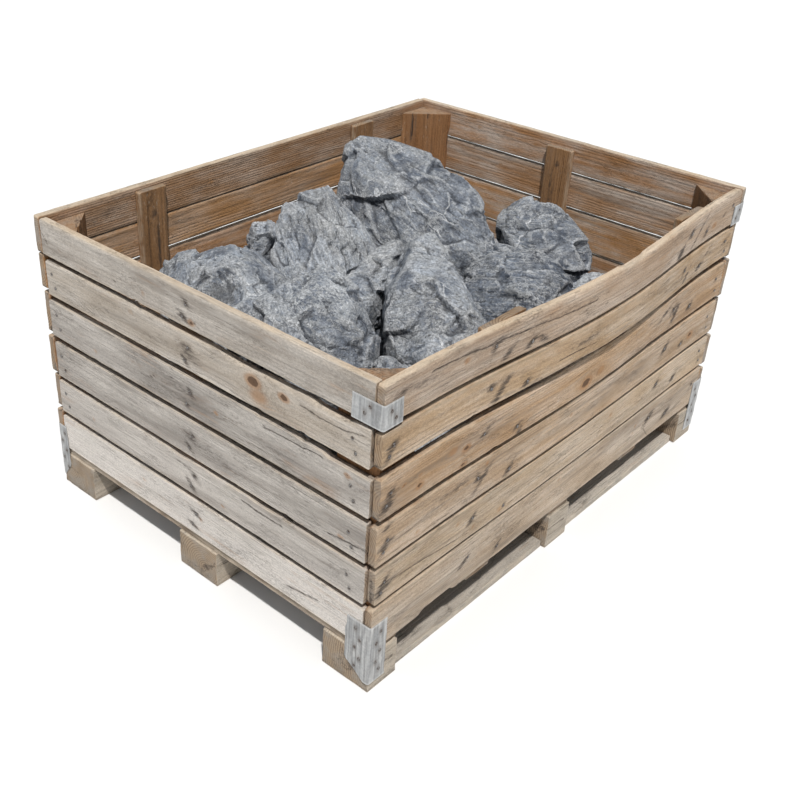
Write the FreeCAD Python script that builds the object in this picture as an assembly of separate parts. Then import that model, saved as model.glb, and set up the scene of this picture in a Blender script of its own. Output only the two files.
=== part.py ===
"""Slatted pallet bin filled with broken quarry stone.

Frame: origin at the centre of the footprint on the ground, +X along the long side, +Y along the
short side, +Z up.  Millimetres.
"""
import FreeCAD, Part
import itertools
import math
import os
import random
from FreeCAD import Vector

# ---- driving dimensions ----------------------------------------------------------------------
LENGTH = 1600.0              # outside, along X
WIDTH = 1200.0               # outside, along Y
BOARD = 22.0                 # thickness of every sawn board
RIM = 842.0                  # height of the rim above the ground
END_GAP = 3.0                # how far a fitted board end stays off the board beside it

# Lower and upper edge of each wall board, bottom row first.  The boards are sawn to uneven widths.
ROWS = {
    "front": [(128.0, 255.0), (266.0, 366.0), (379.0, 488.0), (504.0, 614.0), (637.0, 728.0), (740.0, RIM)],
    "back": [(128.0, 255.0), (266.0, 368.0), (380.0, 492.0), (504.0, 625.0), (637.0, 736.0), (740.0, RIM)],
    "left_end": [(131.0, 243.0), (258.0, 360.0), (375.0, 484.0),
                 (501.0, 609.0), (626.0, 727.0), (741.0, 840.0)],
    "right_end": [(131.0, 243.0), (258.0, 360.0), (375.0, 488.0),
                  (497.0, 617.0), (626.0, 733.0), (741.0, 840.0)],
}
END_SHORT = [0.0, 5.0, 0.0, 4.0, 1.0, 0.0]        # uneven saw cuts at the free ends, row by row

# The load has pushed the upper rows of the front wall outward between its corners.
ROW_BOW = [0.0, 5.0, 10.0, 22.0, 40.0, 38.0]      # farthest push of each row
BOW_CENTRE = 30.0
BOW_REACH = 700.0            # from the centre to where a board is straight again
BOW_STATIONS = [-670.0, -560.0, -452.0, -294.0, -190.0, -80.0, 30.0,
                140.0, 250.0, 350.0, 444.0, 584.0, 730.0]
BATTEN_BOW = [(255.0, 0.0), (488.0, 10.0), (614.0, 22.0), (832.0, 36.0)]     # height, push

BLOCK_X = 104.0              # foot block, along X
BLOCK_Y = 147.0              # foot block, along Y
BLOCK_TOP = 108.0            # underside of the cross boards
SKID_SETBACK = 12.0          # skid boards stay behind the faces of the foot blocks
SKID_WIDTH = 96.0
CROSS_BOARD = 20.0           # thickness of the cross boards on the feet
CROSS_WIDTH = 100.0
CROSS_SETBACK = 6.0          # the cross boards stop a little inside the walls
CROSS_INNER_X = 375.0        # centres of the two cross boards between the feet
FLOOR_BOTTOM = BLOCK_TOP + CROSS_BOARD
FLOOR_TOP = FLOOR_BOTTOM + BOARD
FLOOR_BOARDS = 9
FLOOR_GAP = 8.0

POST_LEG = 122.0             # short sides of a triangular corner post
POST_TOP = 817.0
BATTEN_TOP_LONG = 832.0
BATTEN_TOP_SHORT = 814.0
LONG_BATTENS = {"front": (("left", -373.0, 158.0), ("right", 514.0, 140.0)),       # centre X, width
                "back": (("left", -442.0, 98.0), ("right", 442.0, 98.0))}
END_BATTEN_Y = 8.0           # centre and width of the batten on each end wall
END_BATTEN_WIDTH = 98.0

SHEET = 2.0                  # galvanised sheet of the corner irons
TOP_IRON = dict(leg_x=58.0, leg_y=84.0, bottom=737.0, top=797.0)
FOOT_IRON = dict(leg_x=56.0, leg_y=74.0, bottom=28.0, top=205.0)
BACK_LEFT = (-1, 1)          # this corner has a narrower iron at the foot and none at the top
BACK_LEFT_FOOT_Y = 38.0

NAIL_SHANK_R = 1.6
NAIL_HEAD_R = 4.5
NAIL_HEAD = 1.6              # head height, standing on the wood
NAIL_LENGTH = 55.0
# Nails through each board: place along the wall, and height as a part of the board's width.
FRONT_NAILS = [(-762.0, 0.56), (-774.0, 0.30), (-438.0, 0.56), (-308.0, 0.24),
               (458.0, 0.58), (570.0, 0.32), (730.0, 0.62), (738.0, 0.26)]
BACK_NAILS = [(-752.0, 0.28), (-724.0, 0.72), (-456.0, 0.28), (-428.0, 0.72),
              (428.0, 0.28), (456.0, 0.72), (702.0, 0.28), (730.0, 0.72)]
END_NAILS = [(-520.0, 0.58), (-530.0, 0.24), (0.0, 0.62), (14.0, 0.26), (545.0, 0.66), (534.0, 0.28)]
IRON_NAIL_LENGTH = 38.0
IRON_NAIL_SWAY = 7.0         # nails in an iron zigzag about the middle of its leg
IRON_NAIL_STEP = 4.0         # nails in the two legs of an iron pass over each other
TOP_IRON_NAILS = 2           # in each leg
FOOT_IRON_NAILS = 5

FILL_TOP = 455.0             # upper limit of the lower layer of stones
FILL_COLUMNS = 5
FILL_ROWS = 4
FILL_CLEARANCE = 6.0         # between the lower layer and the battens
FILL_GAP = 6.0               # between the spaces of two stones of the lower layer
FILL_UNEVENNESS = 0.16       # how far a column's edge may stray, in columns
STONE_BASE = 458.0           # underside of the upper layer
STONE_TAPER = 0.78           # underside of a stone against its widest outline
ROUGH_SIDES = 8              # corners around a block of chance shape
ROUGH_CREST = 4              # corners of its top

FLAT = 1e-3                  # a point this close to a plane lies in it
NO_AREA = 1e-6               # three points whose triangle is smaller lie in line

HALF_X = LENGTH / 2
HALF_Y = WIDTH / 2
IN_X = HALF_X - BOARD        # inner faces of the walls
IN_Y = HALF_Y - BOARD

# Visible stones.  "around" is the widest outline of the stone, each corner with the height where
# the side turns in, and "crest" holds the corners of its broken top.
STONES = {
    "stone_crown": dict(
        around=[(-95, 75, 698), (-55, -13, 733), (-18, -133, 723), (45, -215, 733), (147, -219, 738),
                (183, -113, 803), (209, -43, 848), (219, 87, 858), (222, 247, 868), (157, 357, 858),
                (85, 349, 838), (33, 307, 798), (-33, 207, 768)],
        crest=[(92, 337, 866), (142, 352, 890), (149, 315, 912), (199, 247, 913), (181, 193, 903),
               (175, 51, 888), (192, -45, 882), (87, -53, 866), (7, 47, 860), (17, 197, 860)]),
    "stone_pointed": dict(
        around=[(-408, 67, 688), (-393, -18, 698), (-303, -41, 733), (-153, -21, 726),
                (-111, 57, 738), (-121, 147, 798), (-153, 212, 798), (-303, 219, 788), (-373, 157, 738)],
        crest=[(-153, 181, 888), (-138, 152, 882), (-215, 185, 878), (-264, 201, 856), (-265, 67, 848)]),
    "stone_chip": dict(
        around=[(-355, 257, 733), (-333, 231, 743), (-265, 239, 743), (-261, 297, 733), (-323, 307, 733)],
        crest=[(-319, 289, 774), (-303, 269, 786), (-278, 253, 782)]),
    "stone_left": dict(
        around=[(-731, 117, 763), (-725, -81, 750), (-613, -53, 743), (-493, -25, 723), (-433, -1, 723),
                (-421, 97, 743), (-399, 183, 743), (-453, 247, 753), (-563, 297, 756), (-671, 269, 758)],
        crest=[(-607, 269, 774), (-533, 197, 790), (-458, 167, 788), (-707, 99, 782),
               (-613, 67, 810), (-503, 57, 780)]),
    "stone_layered": dict(
        around=[(-745, -173, 758), (-725, -101, 763), (-603, -71, 758), (-453, -45, 763),
                (-413, -78, 743), (-427, -198, 743), (-445, -278, 710), (-461, -311, 688),
                (-563, -345, 682), (-693, -318, 718)],
        crest=[(-658, -91, 798), (-578, -69, 806), (-446, -55, 808), (-423, -98, 804),
               (-433, -196, 784), (-605, -171, 810), (-591, -293, 778), (-703, -183, 792)]),
    "stone_wedge": dict(
        around=[(-395, -113, 688), (-383, -57, 698), (-233, -55, 743), (-133, -63, 758),
                (-119, -91, 758), (-218, -125, 743), (-303, -153, 710), (-387, -179, 688)],
        crest=[(-190, -73, 784), (-151, -81, 798), (-208, -105, 776)]),
    "stone_dome": dict(
        around=[(-415, -288, 693), (-433, -338, 683), (-431, -413, 658), (-348, -473, 658),
                (-249, -481, 688), (-219, -408, 728), (-171, -313, 768), (-143, -223, 798),
                (-167, -151, 798), (-218, -143, 788), (-303, -187, 768), (-375, -235, 733)],
        crest=[(-199, -153, 834), (-175, -190, 858), (-171, -233, 848), (-203, -318, 820),
               (-303, -243, 820), (-333, -335, 798), (-275, -383, 788)]),
    "stone_dark": dict(
        around=[(-121, -265, 698), (-25, -237, 733), (37, -231, 738), (127, -243, 743),
                (147, -323, 743), (145, -423, 718), (115, -493, 688), (37, -533, 668),
                (-93, -533, 663), (-193, -493, 648), (-183, -413, 688)],
        crest=[(37, -241, 756), (57, -255, 766), (81, -283, 778), (89, -353, 778), (109, -413, 758),
               (-98, -393, 756), (-113, -463, 743), (-33, -283, 763)]),
    "stone_round": dict(
        around=[(193, -193, 743), (219, -139, 768), (327, -118, 768), (407, -173, 743),
                (415, -293, 718), (369, -391, 688), (307, -407, 678), (227, -388, 678), (179, -303, 698)],
        crest=[(259, -145, 798), (319, -153, 814), (357, -188, 804), (367, -251, 786), (349, -333, 743),
               (237, -223, 790), (259, -323, 733)]),
    "stone_corner": dict(
        around=[(165, -433, 648), (222, -417, 668), (289, -433, 678), (309, -463, 666),
                (297, -523, 653), (197, -533, 638), (159, -483, 643)],
        crest=[(209, -429, 688), (245, -437, 700), (285, -461, 688), (259, -483, 680)]),
    "stone_low": dict(
        around=[(-569, -365, 670), (-483, -335, 676), (-451, -375, 662), (-473, -443, 638),
                (-563, -463, 638), (-621, -418, 648)],
        crest=[(-523, -355, 690), (-500, -367, 684), (-543, -385, 682)]),
}


def save(node, shape):
    shape.exportStep(os.path.join("parts", node + ".step"))


def box(x0, y0, z0, x1, y1, z1):
    """Box between two corners."""
    return Part.makeBox(x1 - x0, y1 - y0, z1 - z0, Vector(x0, y0, z0))


def hull(points):
    """Smallest convex solid around a set of points: each flat face once, as one polygon."""
    points = [Vector(*p) for p in points]
    faces = {}
    for a, b, c in itertools.combinations(range(len(points)), 3):
        normal = (points[b] - points[a]).cross(points[c] - points[a])
        if normal.Length < NO_AREA:
            continue
        normal.normalize()
        sides = [normal.dot(p - points[a]) for p in points]
        if max(sides) > FLAT and min(sides) < -FLAT:
            continue
        members = [i for i, side in enumerate(sides) if abs(side) <= FLAT]
        faces[frozenset(members)] = (members, normal)
    return Part.makeSolid(Part.makeShell([flat_face([points[i] for i in members], normal)
                                          for members, normal in faces.values()]))


def flat_face(corners, normal):
    """Convex polygon through corners given in any order."""
    middle = sum(corners, Vector()) * (1.0 / len(corners))
    along = (corners[0] - middle).normalize()
    across = normal.cross(along)
    ring = sorted(corners, key=lambda p: math.atan2(across.dot(p - middle), along.dot(p - middle)))
    return Part.Face(Part.makePolygon(ring + ring[:1]))


def prism(corners, depth):
    """Solid swept from a polygon along depth."""
    return Part.Face(Part.makePolygon(corners + corners[:1])).extrude(depth)


# ---- walls -----------------------------------------------------------------------------------
def bow(x):
    """Part of its row's push that the front wall has at x, in straight runs between the stations."""
    def curve(place):
        return math.cos(math.pi / 2 * (place - BOW_CENTRE) / BOW_REACH) ** 2

    for left, right in zip(BOW_STATIONS, BOW_STATIONS[1:]):
        if left <= x <= right:
            part = (x - left) / (right - left)
            ends = [0.0 if p in (BOW_STATIONS[0], BOW_STATIONS[-1]) else curve(p) for p in (left, right)]
            return (1 - part) * ends[0] + part * ends[1]
    return 0.0


def long_wall(side, name):
    """Boards along X.  Their left ends are flush with the bin, their right ends meet the end wall."""
    for row, (low, high) in enumerate(ROWS[name], 1):
        left = -HALF_X + END_SHORT[row - 1]
        right = IN_X - END_GAP
        push = ROW_BOW[row - 1] if side < 0 else 0.0
        stations = [left] + (BOW_STATIONS if push else []) + [right]
        outer = [Vector(x, side * (HALF_Y + push * bow(x)), low) for x in stations]
        inner = [p - Vector(0, side * BOARD, 0) for p in reversed(outer)]
        save(f"{name}_board_{row}", prism(outer + inner, Vector(0, 0, high - low)))


def left_wall():
    """Boards along Y, fitted between the two long walls."""
    for row, (low, high) in enumerate(ROWS["left_end"], 1):
        reach = IN_Y - END_GAP - END_SHORT[-row]
        save(f"left_end_board_{row}", box(-HALF_X, -reach, low, -IN_X, reach, high))


def right_wall():
    """Boards along Y that cover the ends of the long boards."""
    for row, (low, high) in enumerate(ROWS["right_end"], 1):
        reach = HALF_Y - END_SHORT[-row]
        save(f"right_end_board_{row}", box(IN_X, -reach, low, HALF_X, reach, high))


def corner_post(sx, sy):
    """Triangular post in a corner, its long face turned to the middle of the bin."""
    corner = Vector(sx * IN_X, sy * IN_Y, FLOOR_TOP)
    ring = [corner, corner - Vector(sx * POST_LEG, 0, 0), corner - Vector(0, sy * POST_LEG, 0)]
    return prism(ring, Vector(0, 0, POST_TOP - FLOOR_TOP))


def posts():
    for end, sx in (("left", -1), ("right", 1)):
        for wall, sy in (("front", -1), ("back", 1)):
            save(f"corner_post_{wall}_{end}", corner_post(sx, sy))


def battens():
    """Upright boards that tie the rows together inside."""
    for wall, sy in (("front", -1), ("back", 1)):
        for end, x, width in LONG_BATTENS[wall]:
            left, right = x - width / 2, x + width / 2
            push = min(bow(left), bow(right)) if sy < 0 else 0.0
            outer = [Vector(left, sy * IN_Y, FLOOR_TOP)]
            if push:
                outer += [Vector(left, sy * (IN_Y + push * most), z) for z, most in BATTEN_BOW]
            else:
                outer += [Vector(left, sy * IN_Y, BATTEN_TOP_LONG)]
            inner = [p - Vector(0, sy * BOARD, 0) for p in reversed(outer)]
            save(f"batten_{wall}_{end}", prism(outer + inner, Vector(width, 0, 0)))
    half = END_BATTEN_WIDTH / 2
    for end, sx in (("left", -1), ("right", 1)):
        x = sorted((sx * IN_X, sx * (IN_X - BOARD)))
        save(f"batten_{end}_end",
             box(x[0], END_BATTEN_Y - half, FLOOR_TOP, x[1], END_BATTEN_Y + half, BATTEN_TOP_SHORT))


# ---- pallet base -----------------------------------------------------------------------------
BLOCK_CENTRES_X = [-HALF_X + BLOCK_X / 2, 0.0, HALF_X - BLOCK_X / 2]
FEET_ROWS = {"front": -HALF_Y + BLOCK_Y / 2, "middle": 0.0, "back": HALF_Y - BLOCK_Y / 2}


def feet_and_skids():
    """Three rows of three foot blocks, with skid boards let in between them at ground level."""
    for name, y in FEET_ROWS.items():
        blocks = [box(x - BLOCK_X / 2, y - BLOCK_Y / 2, 0, x + BLOCK_X / 2, y + BLOCK_Y / 2, BLOCK_TOP)
                  for x in BLOCK_CENTRES_X]
        save(f"foot_blocks_{name}", Part.makeCompound(blocks))
        outward = 0 if name == "middle" else math.copysign(1, y)
        skid_y = y + outward * (BLOCK_Y / 2 - SKID_SETBACK - SKID_WIDTH / 2)
        skids = []
        for left, right in zip(BLOCK_CENTRES_X, BLOCK_CENTRES_X[1:]):
            skids.append(box(left + BLOCK_X / 2, skid_y - SKID_WIDTH / 2, 0,
                             right - BLOCK_X / 2, skid_y + SKID_WIDTH / 2, BOARD))
        save(f"skid_boards_{name}", Part.makeCompound(skids))


def cross_boards():
    """Five boards along Y on top of the feet; the outer walls stand over their ends."""
    reach = HALF_Y - CROSS_SETBACK
    outer_x = HALF_X - CROSS_SETBACK - CROSS_WIDTH / 2
    boards = [box(x - CROSS_WIDTH / 2, -reach, BLOCK_TOP, x + CROSS_WIDTH / 2, reach, FLOOR_BOTTOM)
              for x in (-outer_x, -CROSS_INNER_X, 0.0, CROSS_INNER_X, outer_x)]
    save("cross_boards", Part.makeCompound(boards))


def floor_boards():
    """Deck of the bin, boards along X with narrow gaps."""
    reach_x = IN_X - END_GAP
    reach_y = IN_Y - END_GAP
    pitch = (2 * reach_y + FLOOR_GAP) / FLOOR_BOARDS
    starts = [-reach_y + i * pitch for i in range(FLOOR_BOARDS)]
    save("floor_boards", Part.makeCompound([
        box(-reach_x, y, FLOOR_BOTTOM, reach_x, y + pitch - FLOOR_GAP, FLOOR_TOP) for y in starts]))


# ---- corner irons and nails ------------------------------------------------------------------
def corner_iron(sx, sy, leg_x, leg_y, bottom, top):
    """Bent sheet around an outside corner."""
    outer_x = sx * (HALF_X + SHEET)
    outer_y = sy * (HALF_Y + SHEET)
    height = top - bottom
    ring = [Vector(outer_x, outer_y, bottom),
            Vector(outer_x, outer_y - sy * (leg_y + SHEET), bottom),
            Vector(sx * HALF_X, outer_y - sy * (leg_y + SHEET), bottom),
            Vector(sx * HALF_X, sy * HALF_Y, bottom),
            Vector(outer_x - sx * (leg_x + SHEET), sy * HALF_Y, bottom),
            Vector(outer_x - sx * (leg_x + SHEET), outer_y, bottom)]
    return prism(ring, Vector(0, 0, height))


CORNERS = [(sx, sy) for sx in (-1, 1) for sy in (-1, 1)]
TOP_IRONS = [(corner, TOP_IRON) for corner in CORNERS if corner != BACK_LEFT]
FOOT_IRONS = [(corner, dict(FOOT_IRON, leg_y=BACK_LEFT_FOOT_Y) if corner == BACK_LEFT else FOOT_IRON)
              for corner in CORNERS]


def irons():
    for node, placed in (("top_corner_irons", TOP_IRONS), ("foot_corner_irons", FOOT_IRONS)):
        save(node, Part.makeCompound([corner_iron(sx, sy, **iron) for (sx, sy), iron in placed]))


def nail(point, inward, length):
    """Round-headed nail driven at a point of a surface."""
    shank = Part.makeCylinder(NAIL_SHANK_R, length, point, inward)
    head = Part.makeCylinder(NAIL_HEAD_R, NAIL_HEAD, point - inward * NAIL_HEAD, inward)
    return shank.fuse(head).removeSplitter()


def wall_nails():
    """Nails through each board into the posts and battens."""
    nails = []
    for wall, side, places in (("front", -1, FRONT_NAILS), ("back", 1, BACK_NAILS)):
        for (low, high), push in zip(ROWS[wall], ROW_BOW):
            for x, part in places:
                out = HALF_Y + (push * bow(x) if side < 0 else 0.0)
                spot = Vector(x, side * out, low + part * (high - low))
                nails.append(nail(spot, Vector(0, -side, 0), NAIL_LENGTH))
    for wall, side in (("left_end", -1), ("right_end", 1)):
        for low, high in ROWS[wall]:
            for y, part in END_NAILS:
                spot = Vector(side * HALF_X, y, low + part * (high - low))
                nails.append(nail(spot, Vector(-side, 0, 0), NAIL_LENGTH))
    save("wall_nails", Part.makeCompound([n for n in nails if clear_of_irons(n)]))


def clear_of_irons(shape):
    """True unless the nail would come through one of the corner irons."""
    spot = shape.BoundBox.Center
    room = 2 * NAIL_HEAD_R
    inside_leg = (abs(spot.x) > HALF_X - TOP_IRON["leg_x"] - room
                  and abs(spot.y) > HALF_Y - TOP_IRON["leg_y"] - room)
    return not (inside_leg and (spot.z > TOP_IRON["bottom"] - room or spot.z < FOOT_IRON["top"] + room))


def iron_nails():
    """Nails that hold the corner irons, zigzag down each leg."""
    nails = []
    for placed, count in ((TOP_IRONS, TOP_IRON_NAILS), (FOOT_IRONS, FOOT_IRON_NAILS)):
        for (sx, sy), iron in placed:
            spacing = (iron["top"] - iron["bottom"]) / (count + 1)
            for i in range(count):
                z = iron["bottom"] + (i + 1) * spacing
                sway = IRON_NAIL_SWAY if i % 2 else -IRON_NAIL_SWAY
                along_x = Vector(sx * (HALF_X - iron["leg_x"] / 2 + sway), sy * (HALF_Y + SHEET), z)
                along_y = Vector(sx * (HALF_X + SHEET), sy * (HALF_Y - iron["leg_y"] / 2 + sway),
                                 z + IRON_NAIL_STEP)
                nails.append(nail(along_x, Vector(0, -sy, 0), IRON_NAIL_LENGTH))
                nails.append(nail(along_y, Vector(-sx, 0, 0), IRON_NAIL_LENGTH))
    save("iron_nails", Part.makeCompound(nails))


# ---- stone -----------------------------------------------------------------------------------
def broken_stone(around, crest, base=STONE_BASE):
    """Convex block: an underside drawn in from its widest outline, and a broken crest."""
    middle_x = sum(p[0] for p in around) / len(around)
    middle_y = sum(p[1] for p in around) / len(around)
    underside = [(middle_x + STONE_TAPER * (x - middle_x), middle_y + STONE_TAPER * (y - middle_y), base)
                 for x, y, _ in around[::2]]
    return hull(underside + around + crest)


def rough_stone(chance, x, y, half_x, half_y, base, top):
    """Block of chance shape inside an upright elliptical space."""
    def corner(count, i, wander, nearest, farthest, z):
        turn = math.radians(360 / count * i + chance.uniform(-wander, wander))
        reach = chance.uniform(nearest, farthest)
        return (x + reach * half_x * math.cos(turn), y + reach * half_y * math.sin(turn), z)

    height = top - base
    around = [corner(ROUGH_SIDES, i, 16, 0.88, 1.0, base + height * chance.uniform(0.45, 0.75))
              for i in range(ROUGH_SIDES)]
    crest = [corner(ROUGH_CREST, i, 30, 0.35, 0.7, top - height * chance.uniform(0.0, 0.16))
             for i in range(ROUGH_CREST)]
    return broken_stone(around, crest, base)


def fill_stones():
    """Lower layer on the floor: rows of blocks of uneven length."""
    chance = random.Random(11)
    half_x = IN_X - BOARD - FILL_CLEARANCE
    half_y = IN_Y - BOARD - FILL_CLEARANCE
    column = 2 * half_x / FILL_COLUMNS
    row = 2 * half_y / FILL_ROWS
    stones = []
    for j in range(FILL_ROWS):
        splits = [-half_x + column * (i + chance.uniform(-FILL_UNEVENNESS, FILL_UNEVENNESS))
                  for i in range(1, FILL_COLUMNS)]
        edges = [-half_x] + splits + [half_x]
        for left, right in zip(edges, edges[1:]):
            stones.append(rough_stone(chance, (left + right) / 2, -half_y + (j + 0.5) * row,
                                      (right - left - FILL_GAP) / 2, (row - FILL_GAP) / 2,
                                      FLOOR_TOP, FILL_TOP))
    save("fill_stones", Part.makeCompound(stones))


# Upper-layer blocks along the back and the right end: centre x, y, half lengths, top.
SIDE_STONES = [(-640, 440, 95, 95, 545), (-430, 440, 98, 100, 540), (-215, 450, 102, 95, 560),
               (20, 462, 108, 86, 550), (255, 465, 108, 85, 540), (480, 440, 98, 100, 525),
               (650, 328, 90, 105, 490), (345, 60, 98, 145, 560), (590, 60, 108, 125, 505),
               (560, -200, 100, 112, 500), (515, -450, 86, 82, 505)]


def side_stones():
    """Upper-layer blocks that lie low beside the heap."""
    chance = random.Random(5)
    save("side_stones", Part.makeCompound([rough_stone(chance, x, y, half_x, half_y, STONE_BASE, top)
                                           for x, y, half_x, half_y, top in SIDE_STONES]))


def main():
    os.makedirs("parts", exist_ok=True)
    long_wall(-1, "front")
    long_wall(1, "back")
    left_wall()
    right_wall()
    posts()
    battens()
    feet_and_skids()
    cross_boards()
    floor_boards()
    irons()
    wall_nails()
    iron_nails()
    for name, corners in STONES.items():
        save(name, broken_stone(**corners))
    fill_stones()
    side_stones()


main()
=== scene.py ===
import math
import random

import bmesh
import bpy
import numpy as np
from mathutils import Matrix, Vector


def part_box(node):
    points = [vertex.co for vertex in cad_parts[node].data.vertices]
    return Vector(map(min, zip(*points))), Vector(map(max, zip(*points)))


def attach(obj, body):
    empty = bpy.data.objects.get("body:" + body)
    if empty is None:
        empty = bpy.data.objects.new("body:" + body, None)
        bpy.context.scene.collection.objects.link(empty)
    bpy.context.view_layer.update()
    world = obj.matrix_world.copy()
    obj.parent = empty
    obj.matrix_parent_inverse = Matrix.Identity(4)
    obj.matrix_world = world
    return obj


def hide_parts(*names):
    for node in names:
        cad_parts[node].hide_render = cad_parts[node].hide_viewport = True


# Looks of a slatted pallet bin heaped with broken quarry stone.
# Metres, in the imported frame: +X along the long side, +Y along the short side, +Z up.

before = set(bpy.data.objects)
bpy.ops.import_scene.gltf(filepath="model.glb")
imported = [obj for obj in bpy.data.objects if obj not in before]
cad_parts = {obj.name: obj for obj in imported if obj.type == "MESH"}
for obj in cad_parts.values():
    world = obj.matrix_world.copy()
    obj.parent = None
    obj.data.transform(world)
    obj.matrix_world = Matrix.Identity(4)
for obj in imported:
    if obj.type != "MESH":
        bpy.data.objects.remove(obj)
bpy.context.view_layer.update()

HALF_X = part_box("right_end_board_1")[1].x
HALF_Y = -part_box("front_board_1")[0].y
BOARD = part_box("front_board_1")[1].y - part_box("front_board_1")[0].y


def smooth(x, low, high):
    """0 below low, 1 above high, and a soft step between them."""
    u = np.clip((x - low) / (high - low), 0.0, 1.0)
    return u * u * (3 - 2 * u)


def srgb(red, green, blue):
    """Linear colour of an 8-bit display colour."""
    return np.array([((c / 255 + 0.055) / 1.055) ** 2.4 for c in (red, green, blue)])


# ---- noise -----------------------------------------------------------------------------------
def lattice(x, y, z, seed):
    """Chance number from 0 to 1 for each whole-number point."""
    h = (x * 374761393 + y * 668265263 + z * 1440662683 + seed * 974634777) & 0xFFFFFFFF
    h = ((h ^ (h >> 15)) * 2246822519) & 0xFFFFFFFF
    h = ((h ^ (h >> 13)) * 3266489917) & 0xFFFFFFFF
    return ((h ^ (h >> 16)) & 0xFFFFFF) / 0xFFFFFF


def noise(p, seed=0):
    """Smooth noise from -1 to 1 at points p (N, 3)."""
    cell = np.floor(p).astype(np.int64)
    f = p - cell
    f = f * f * f * (f * (f * 6 - 15) + 10)
    total = np.zeros(len(p))
    for dx in (0, 1):
        wx = f[:, 0] if dx else 1 - f[:, 0]
        for dy in (0, 1):
            wy = f[:, 1] if dy else 1 - f[:, 1]
            for dz in (0, 1):
                wz = f[:, 2] if dz else 1 - f[:, 2]
                total += wx * wy * wz * lattice(cell[:, 0] + dx, cell[:, 1] + dy, cell[:, 2] + dz, seed)
    return 2 * total - 1


def fractal(p, seed=0, octaves=4, gain=0.5):
    total = np.zeros(len(p))
    size = 1.0
    for i in range(octaves):
        total += size * noise(p * 2.03 ** i, seed + 17 * i)
        size *= gain
    return total


def ridged(p, seed=0, octaves=4):
    """Noise with sharp crests: near 1 on the crests."""
    total = np.zeros(len(p))
    size = 1.0
    for i in range(octaves):
        total += size * (1 - 2 * np.abs(noise(p * 2.07 ** i, seed + 31 * i)))
        size *= 0.5
    return total


def along(a, scale, seed, octaves=3):
    """Noise along a line."""
    a = np.asarray(a, float)
    return fractal(np.column_stack([a * scale, np.full(len(a), 0.37), np.full(len(a), 0.71)]), seed, octaves)


# ---- meshes ----------------------------------------------------------------------------------
def islands(node):
    """The separate solids of a CAD node, each as its points."""
    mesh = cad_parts[node].data
    co = np.array([v.co for v in mesh.vertices], float)
    _, same = np.unique(np.round(co, 6), axis=0, return_inverse=True)
    same = same.reshape(-1)
    label = np.arange(same.max() + 1)
    edges = np.array([same[list(e.vertices)] for e in mesh.edges])
    while True:
        least = np.minimum(label[edges[:, 0]], label[edges[:, 1]])
        new = label.copy()
        np.minimum.at(new, edges[:, 0], least)
        np.minimum.at(new, edges[:, 1], least)
        if (new == label).all():
            break
        label = new
    of_vertex = label[same]
    return [co[of_vertex == k] for k in sorted(set(of_vertex.tolist()))]


def make(name, points, faces, attributes, material, node_names, body="bin", sharp=math.radians(38)):
    """Mesh piece that stands for its CAD nodes. Faces are turned outward."""
    points = np.asarray(points, float)
    mesh = bpy.data.meshes.new(name)
    mesh.from_pydata(points.tolist(), [], faces)
    mesh.update()
    mesh.calc_loop_triangles()
    corners = np.array([t.vertices for t in mesh.loop_triangles])
    a, b, c = (points[corners[:, i]] for i in range(3))
    if (a * np.cross(b, c)).sum() < 0:
        mesh.flip_normals()
    for key, values in attributes.items():
        values = np.asarray(values, np.float32)
        if values.ndim == 1:
            mesh.attributes.new(key, "FLOAT", "POINT").data.foreach_set("value", values)
        else:
            mesh.attributes.new(key, "FLOAT_VECTOR", "POINT").data.foreach_set("vector", values.reshape(-1))
    mesh.polygons.foreach_set("use_smooth", [True] * len(mesh.polygons))
    mesh.set_sharp_from_angle(angle=sharp)
    mesh.materials.append(material)
    piece = bpy.data.objects.new(name, mesh)
    bpy.context.scene.collection.objects.link(piece)
    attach(piece, body)
    if node_names:
        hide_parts(*node_names)
    return piece


def loft_faces(stations, ring, start=0):
    """Quads between closed rings, and a cap at each end."""
    index = start + np.arange(stations * ring).reshape(stations, ring)
    here = index[:-1]
    there = index[1:]
    quads = np.stack([here, np.roll(here, -1, 1), np.roll(there, -1, 1), there], -1).reshape(-1, 4)
    return quads.tolist() + [index[0, ::-1].tolist(), index[-1].tolist()]


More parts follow.
